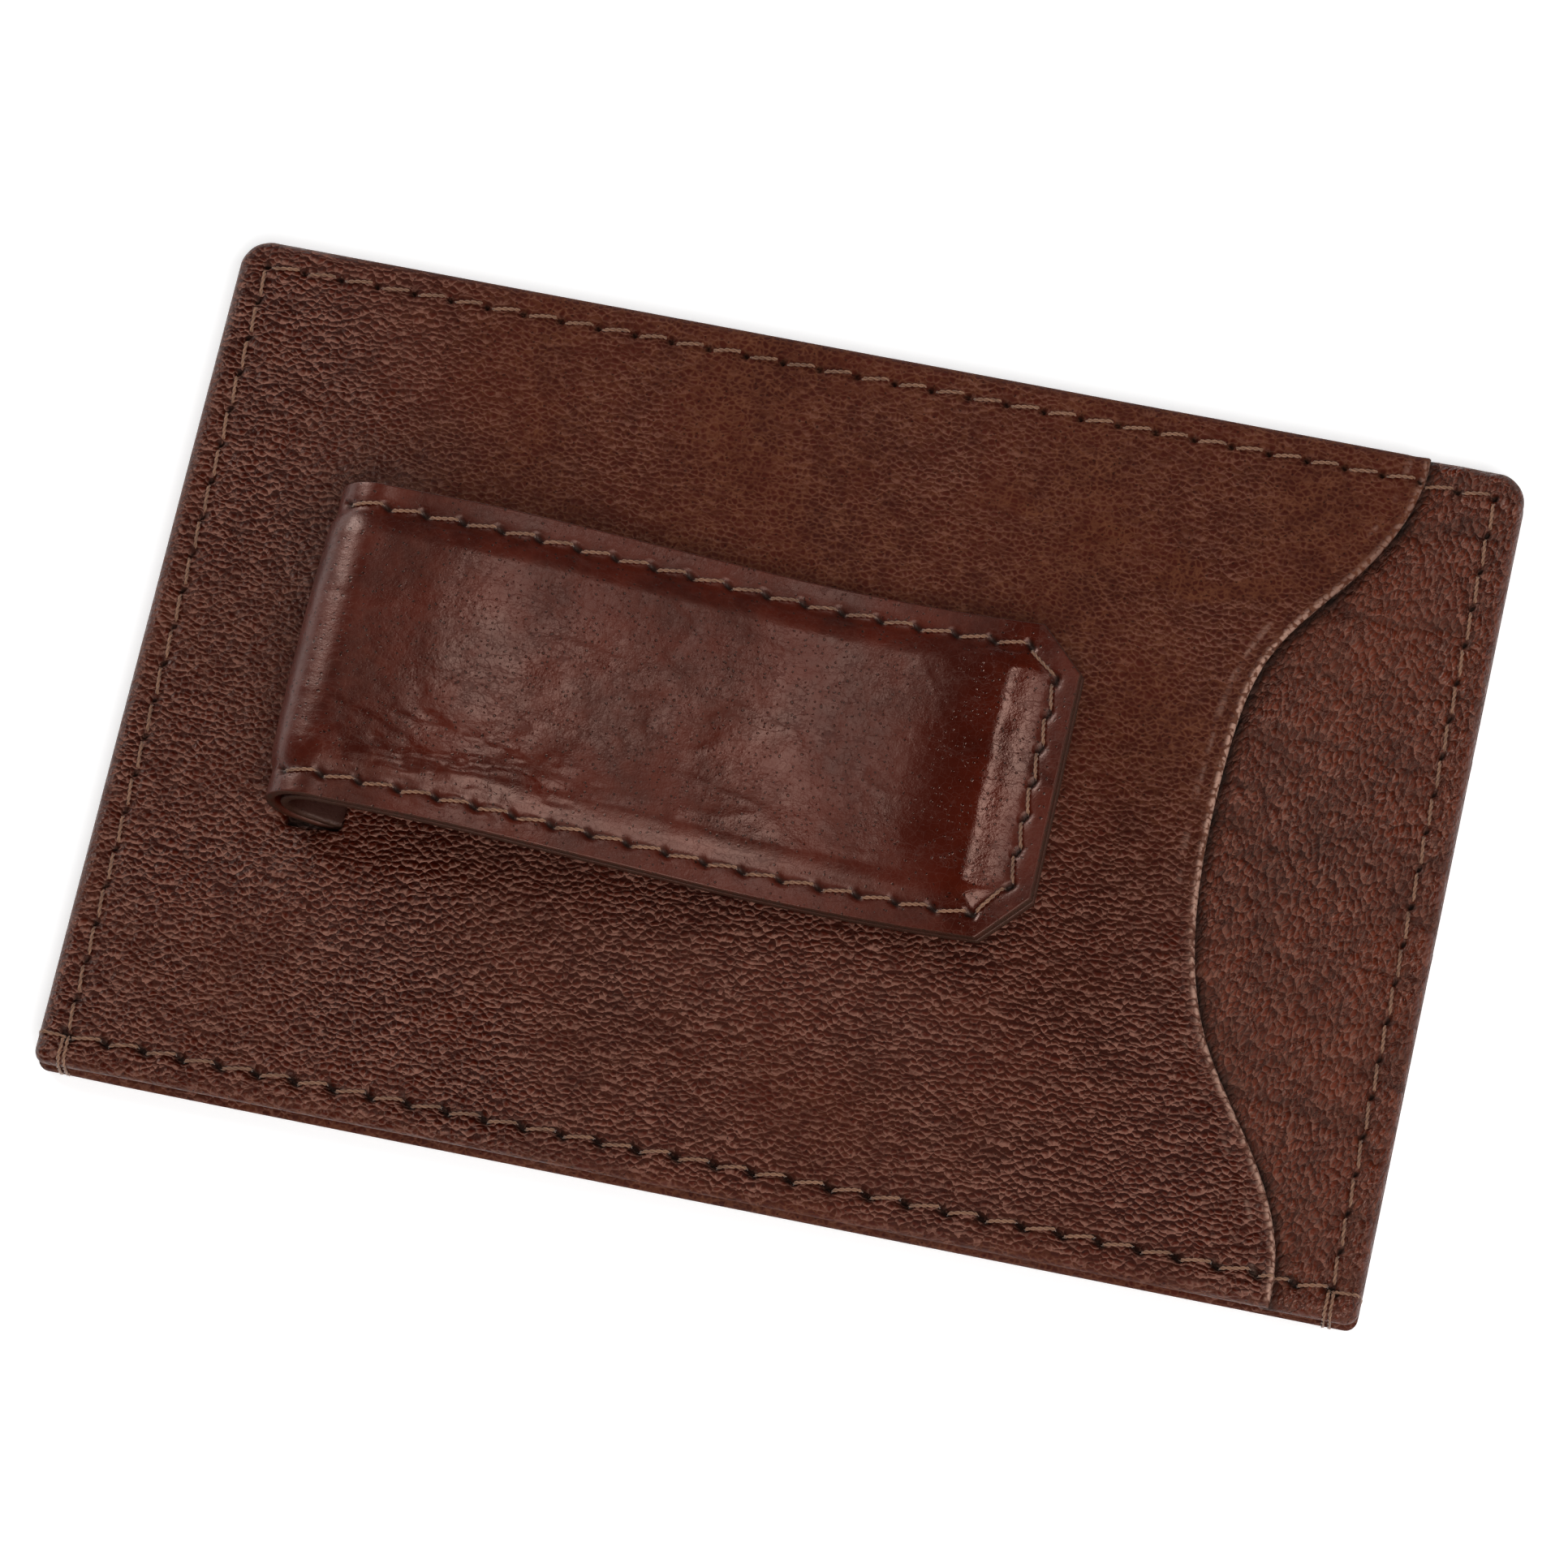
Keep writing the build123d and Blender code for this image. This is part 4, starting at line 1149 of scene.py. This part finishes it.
def leather(name, look):
    """Grained leather: overlapping pebbles, cracks, rubbed tan lines and undyed cut edges, with painted
    shade in the cuts, valleys and cracks and a painted highlight on the scales' lower edges.
    """
    g = Graph(name)
    flat = g.flat()
    grain = g.turned(g.warped(g.warped(flat, 1.6, look["wander"]), 0.35, look["ragged"]), look["turn"])
    grain = g.scaled(grain, look["stretch"])
    lengthwise = g.scaled(g.turned(flat, look["turn"]), look["crack_stretch"])
    edge = g.cells(grain, look["pebble"], "DISTANCE_TO_EDGE")
    off_middle = g.cells(grain, look["pebble"])
    middle = g.cells(grain, look["pebble"], output="Position")
    dome = g.minus(1.0, g.times(off_middle, off_middle, 1.5), clamp=True)
    from_middle = g.node("VectorMath", {0: middle, 1: grain}, operation="SUBTRACT").outputs[0]
    lower = g.node("VectorMath", {0: from_middle, 1: look["overlap"]}, operation="DOT_PRODUCT")
    lower = g.times(lower.outputs["Value"], 1 / look["pebble"])
    scale = g.times(dome, g.plus(0.8, g.times(lower, 1.2)))
    valley = g.step(edge, look["valley"], 0.02)
    lower_side = g.step(lower, -0.15, 0.45)
    crack = g.crack(lengthwise, look["crack"], look["crack_wide"])
    fine_crack = g.crack(lengthwise, look["crack"] * 0.42, look["crack_wide"] * 1.3)
    cracks = g.most(crack, g.times(fine_crack, 0.6))
    specks = g.step(g.cells(grain, look["pore"], randomness=0.8), look["speck"], look["speck"] * 0.45)
    fine = g.noise(flat, 0.16, 2.0)
    patches = g.noise(flat, 7.0, 5.0, 0.6)
    mottle = g.noise(flat, 1.5, 4.0, 0.65)
    net = g.crack(g.warped(flat, 3.0, 0.6), look["net"], 0.035)
    worn = g.value("worn")
    pit = g.value("pit")

    colour = g.mix(g.step(patches, 0.36, 0.64), look["dark"], look["skin"])
    colour = g.mix(g.times(g.step(mottle, 0.4, 0.75), 0.4), colour, look["light"])
    colour = g.mix(g.times(worn, look["worn_dark"]), colour, look["deep"])
    fresh = g.minus(1.0, worn, clamp=True)
    # Painted shade: darker on the upper side of each scale and in the valleys where the grain is fresh, and
    # darker along the cracks.
    shade = g.times(g.step(lower, 0.1, -0.35), fresh)
    painted_valley_shade = g.times(g.most(shade, g.times(valley, fresh)), look["valley_shade"])
    colour = g.mix(g.most(painted_valley_shade, g.times(cracks, look["crack_shade"])), colour, look["deep"])
    fading = g.step(mottle, 0.3, 0.6, 0.4, 1.0)
    lines = g.plus(g.times(valley, worn), g.times(net, worn, 0.4))
    colour = g.mix(g.times(lines, fading, look["rub"], clamp=True), colour, look["vein"])
    # Painted highlight: a light pinkish colour on the lower edge of each fresh scale, in the share the
    # look's tip value gives.
    painted_crest_highlight = g.times(lower_side, g.step(edge, 0.4, 0.0), fresh)
    colour = g.mix(g.times(painted_crest_highlight, fading, look["tip"], clamp=True), colour, look["painted_highlight_colour"])
    colour = g.mix(g.times(specks, look["speck_dark"]), colour, look["deep"])
    # Painted shade: the clip's dark mask paints a dark reflection on its padded middle before the tip, and
    # shade over its inner leather.
    if look.get("painted_dark_zones"):
        colour = g.mix(g.times(g.value("dark"), 0.7), colour, look["dark"])
    # Painted shade: the mesh's shade mask darkens cuts, slits, grooves and creases toward near black.
    colour = g.mix(g.times(pit, 0.97, clamp=True), colour, HOLE_SHADE)
    # Cut-edge colour, which also carries the painted highlight along the pocket's wave edge and painted
    # shade on the clip's edges.
    raw_fibre = g.mix(g.noise(flat, 0.14, 4.0, 0.7), look["raw"], look["raw_light"])
    raw = g.times(g.value("raw"), g.step(dome, 0.35, 0.8, look["raw_gaps"], 1.0), clamp=True)
    colour = g.mix(raw, colour, raw_fibre)

    matt, shiny = look["rough"]
    rough = g.plus(g.step(g.value("gloss"), 0.0, 1.0, matt, shiny), g.times(g.minus(mottle, 0.5), 0.2))
    rough = g.plus(rough, g.times(g.most(valley, cracks), 0.15), g.times(g.most(raw, pit), 0.4), clamp=True)

    raised = g.times(scale, g.step(worn, 0.0, 1.0, look["relief"], 0.4 * look["relief"]))
    height = g.plus(raised, g.times(fine, look["fine"]), g.times(mottle, look["lumps"]))
    height = g.minus(height, g.times(specks, look["speck_deep"]), g.times(cracks, look["crack_deep"]))
    normal = g.relief(height, 1.0)
    return g.surface(
        base_color=colour,
        roughness=rough,
        specular_IOR_level=look["gleam"],
        specular_tint=look["tint"],
        coat_weight=look["coat"],
        coat_roughness=0.18,
        normal=normal,
        coat_normal=normal,
    )


POCKET_LOOK = {
    "stretch": (0.92, 1.12, 1.0),
    "turn": 0.0,
    "wander": 0.35,
    "ragged": 0.09,
    "pebble": 0.5,
    "overlap": (0.0, 1.0, 0.0),
    "valley": 0.24,
    "valley_shade": 0.9,
    "crack_stretch": (0.6, 1.2, 1.0),
    "crack": 5.0,
    "crack_wide": 0.012,
    "crack_shade": 0.25,
    "crack_deep": 0.02,
    "pore": 0.62,
    "speck": 0.17,
    "speck_dark": 0.8,
    "speck_deep": 0.04,
    "net": 3.2,
    "deep": (0.016, 0.0014, 0.0005),
    "dark": (0.04, 0.0035, 0.0008),
    "skin": (0.06, 0.0058, 0.0014),
    "light": (0.078, 0.0112, 0.0032),
    "vein": (0.102, 0.032, 0.0145),
    # Colour of the painted highlight on the scales' lower edges; tip sets how much of it shows.
    "painted_highlight_colour": (0.25, 0.112, 0.08),
    # Cut-edge colours, light enough to act as the painted highlight along the wave edge.
    "raw": (0.28, 0.13, 0.09),
    "raw_light": (0.62, 0.4, 0.31),
    "rub": 0.8,
    "worn_dark": 0.3,
    "tip": 0.95,
    "raw_gaps": 0.1,
    "rough": (0.8, 0.3),
    "gleam": 0.22,
    "tint": (1.0, 0.72, 0.6),
    "coat": 0.0,
    "relief": 0.125,
    "fine": 0.012,
    "lumps": 0.06,
}
STRIP_LOOK = {
    **POCKET_LOOK,
    "turn": 22.0,
    "stretch": (1.3, 0.68, 1.0),
    "wander": 0.4,
    "overlap": (0.3, 0.4, 0.0),
    "valley": 0.2,
    "crack_stretch": (1.3, 0.55, 1.0),
    "crack": 4.5,
    "crack_wide": 0.014,
    "crack_shade": 0.75,
    "crack_deep": 0.07,
    "rub": 0.4,
    "tip": 0.75,
    "rough": (0.38, 0.24),
    "gleam": 0.36,
    "relief": 0.17,
    "painted_highlight_colour": (0.3, 0.12, 0.08),
    "deep": (0.018, 0.002, 0.0007),
    "dark": (0.074, 0.0088, 0.0022),
    "skin": (0.108, 0.0155, 0.0045),
    "light": (0.135, 0.026, 0.0095),
}
CLIP_LOOK = {
    **POCKET_LOOK,
    "stretch": (1.0, 1.0, 1.0),
    "pebble": 0.7,
    "overlap": (0.0, 0.0, 0.0),
    "valley": 0.025,
    "valley_shade": 0.0,
    "crack": 4.5,
    "crack_shade": 0.08,
    "crack_deep": 0.003,
    "speck_deep": 0.016,
    "pore": 0.5,
    "speck": 0.25,
    "speck_dark": 0.95,
    "net": 2.2,
    "deep": (0.006, 0.0007, 0.0003),
    "dark": (0.03, 0.0024, 0.0006),
    "skin": (0.056, 0.0048, 0.0012),
    "light": (0.072, 0.0088, 0.0028),
    # Near-black cut edges of the clip: dark edge dye with painted shade.
    "raw": (0.007, 0.0024, 0.0012),
    "raw_light": (0.035, 0.012, 0.005),
    "worn_dark": 0.0,
    "rub": 0.12,
    "tip": 0.0,
    "raw_gaps": 0.7,
    "rough": (0.38, 0.15),
    "gleam": 0.5,
    "tint": (1.0, 0.62, 0.5),
    "coat": 0.05,
    "relief": 0.007,
    "fine": 0.007,
    "lumps": 0.04,
    "painted_dark_zones": True,
}


def fibre_material(name, stretch, grain, colours, rough, depth, patch=None, on_cad=False, **constants):
    """Streaky fibres between two colours, with patches of a third: (size, from, to, share, colour)."""
    g = Graph(name)
    where = g.local() if on_cad else g.flat()
    fibre = g.noise(g.scaled(where, stretch), *grain)
    colour = g.mix(fibre, *colours)
    if patch:
        size, start, end, share, tone = patch
        colour = g.mix(g.times(g.step(g.noise(where, *size), start, end), share), colour, tone)
    roughness = g.step(fibre, 0.2, 0.8, *rough)
    return g.surface(base_color=colour, roughness=roughness, normal=g.relief(fibre, depth), **constants)


def thread_material():
    """Tan twisted thread with fine fibres."""
    colours = ((0.1, 0.037, 0.016), (0.37, 0.18, 0.095))
    patch = ((4.0, 2.0), 0.35, 0.7, 1.0, (0.12, 0.048, 0.02))
    name = "thread_tan"
    stretch = (3.0, 14.0, 1.0)
    return fibre_material(name, stretch, (1.0, 3.0), colours, (0.75, 0.5), 0.03, patch, sheen_weight=0.2)


def raw_leather_material():
    """The fibrous, undyed inside of the leather at a cut end."""
    colours = ((0.11, 0.045, 0.02), (0.38, 0.21, 0.12))
    patch = ((2.5, 3.0), 0.45, 0.75, 1.0, (0.2, 0.085, 0.04))
    grain = (0.25, 5.0, 0.7)
    return fibre_material("raw_leather", (1.0, 1.0, 3.0), grain, colours, (0.95, 0.8), 0.12, patch)


def board_material():
    """Grey-brown pressed fibre board and felt padding."""
    colours = ((0.16, 0.11, 0.07), (0.42, 0.33, 0.24))
    grain = (0.5, 5.0, 0.7)
    return fibre_material("filler_board", (2.0, 0.6, 1.0), grain, colours, (0.95, 0.8), 0.1, on_cad=True)


def steel_material():
    """Brushed spring steel with faint blueing."""
    colours = ((0.32, 0.33, 0.35), (0.55, 0.56, 0.58))
    patch = ((6.0, 3.0), 0.5, 0.8, 0.3, (0.3, 0.24, 0.2))
    name = "spring_steel"
    stretch = (0.3, 12.0, 12.0)
    return fibre_material(name, stretch, (1.0, 3.0), colours, (0.28, 0.42), 0.01, patch, metallic=1.0)


def fabric_material(name, dark, light):
    """Plain-woven lining."""
    g = Graph(name)
    where = g.local()
    warp = g.node("TexWave", {"Vector": where, "Scale": 1.6}, bands_direction="X").outputs["Fac"]
    weft = g.node("TexWave", {"Vector": where, "Scale": 1.6}, bands_direction="Y").outputs["Fac"]
    weave = g.times(warp, weft)
    slubs = g.noise(g.scaled(where, (0.4, 2.5, 1.0)), 0.6, 4.0)
    colour = g.mix(g.plus(g.times(weave, 0.7), g.times(slubs, 0.4), clamp=True), dark, light)
    rough = g.step(weave, 0.0, 1.0, 0.9, 0.75)
    return g.surface(base_color=colour, roughness=rough, sheen_weight=0.15, normal=g.relief(weave, 0.08))


def paint(pieces, material):
    """Gives every piece one material."""
    for piece in pieces:
        piece.data.materials.clear()
        piece.data.materials.append(material)


# ---- room, lights and camera


def build_floor():
    """A plain white sweep under the case."""
    size = 3.0
    mesh = bpy.data.meshes.new("floor")
    corners = [(-size, -size, 0), (size, -size, 0), (size, size, 0), (-size, size, 0)]
    mesh.from_pydata(corners, [], [(0, 1, 2, 3)])
    floor = bpy.data.objects.new("floor", mesh)
    floor.location.z = -0.02 * MM
    bpy.context.scene.collection.objects.link(floor)
    shine = {"emission_color": (1.0, 1.0, 1.0), "emission_strength": 0.3}
    paint([floor], Graph("floor_white").surface(base_color=(0.95, 0.95, 0.95), roughness=0.9, **shine))


def softbox(name, azimuth, zenith, distance, width, height, watts):
    """A soft rectangular light that faces the case. Azimuth 0 is along +X, 90 along +Y."""
    light = bpy.data.lights.new(name, "AREA")
    light.shape = "RECTANGLE"
    light.size = width
    light.size_y = height
    light.energy = watts
    lamp = bpy.data.objects.new(name, light)
    a = math.radians(azimuth)
    z = math.radians(zenith)
    towards = Vector((math.sin(z) * math.cos(a), math.sin(z) * math.sin(a), math.cos(z)))
    lamp.location = towards * distance
    lamp.rotation_euler = towards.to_track_quat("Z", "Y").to_euler()
    bpy.context.scene.collection.objects.link(lamp)


def build_lights():
    """One large soft light over the mouth side, three small ones round the case, a faint surround."""
    world = bpy.data.worlds.new("studio")
    bpy.context.scene.world = world
    world.use_nodes = True
    surround = world.node_tree.nodes["Background"]
    surround.inputs["Color"].default_value = (1.0, 1.0, 1.0, 1.0)
    surround.inputs["Strength"].default_value = 0.07
    softbox("front_softbox", -60, 40, 1.2, 0.9, 0.9, 13.5)
    softbox("left_softbox", 146, 66, 1.0, 0.35, 0.5, 5.0)
    softbox("right_softbox", 84, 21, 1.0, 0.2, 0.3, 1.2)
    softbox("side_softbox", 5, 66, 1.2, 0.4, 0.6, 3.0)


CAMERA_LENS = 180.0
CAMERA_TARGET = (0.239, -1.597, 3.9)
CAMERA_DISTANCE = 606.5
CAMERA_AZIMUTH = 21.46
CAMERA_ELEVATION = 71.0
CAMERA_ROLL = -9.43


def build_camera():
    """A long lens, high over the mouth side and a little to the right, turned about its axis."""
    a = math.radians(CAMERA_AZIMUTH)
    e = math.radians(CAMERA_ELEVATION)
    back = Vector((math.sin(a) * math.cos(e), -math.cos(a) * math.cos(e), math.sin(e)))
    level = Vector((math.cos(a), math.sin(a), 0))
    upright = back.cross(level)
    r = math.radians(CAMERA_ROLL)
    right = math.cos(r) * level + math.sin(r) * upright
    up = -math.sin(r) * level + math.cos(r) * upright
    data = bpy.data.cameras.new("camera")
    data.lens = CAMERA_LENS
    data.sensor_width = 36.0
    data.clip_start = 0.01
    camera = bpy.data.objects.new("camera", data)
    place = (Vector(CAMERA_TARGET) + back * CAMERA_DISTANCE) * MM
    camera.matrix_world = Matrix.Translation(place) @ Matrix((right, up, back)).transposed().to_4x4()
    bpy.context.scene.collection.objects.link(camera)
    bpy.context.scene.camera = camera


# ---- build everything

build_camera()
build_floor()
build_lights()
bpy.context.scene.view_settings.view_transform = "Standard"

paint([build_pocket_panel()], leather("pocket_leather", POCKET_LOOK))
paint([build_back_panel()], leather("strip_leather", STRIP_LOOK))
paint(build_front(), leather("front_leather", POCKET_LOOK))
paint(build_clip_leather(), leather("clip_leather", CLIP_LOOK))
threads = build_case_threads() + build_tacks() + [build_clip_thread()]
paint(threads, thread_material())
paint(build_hems(), raw_leather_material())

nodes = frame["nodes"]
linings = ("front_lining", "back_lining", "pocket_lining", "front_slot_backing")
fillers = ("back_stiffener", "clip_filler_pad", "clip_anchor_patch")
cloth = fabric_material("lining_cloth", (0.012, 0.006, 0.004), (0.05, 0.028, 0.02))
paint([nodes[name] for name in linings], cloth)
paint([nodes[name] for name in fillers], board_material())
paint([build_steel()], steel_material())
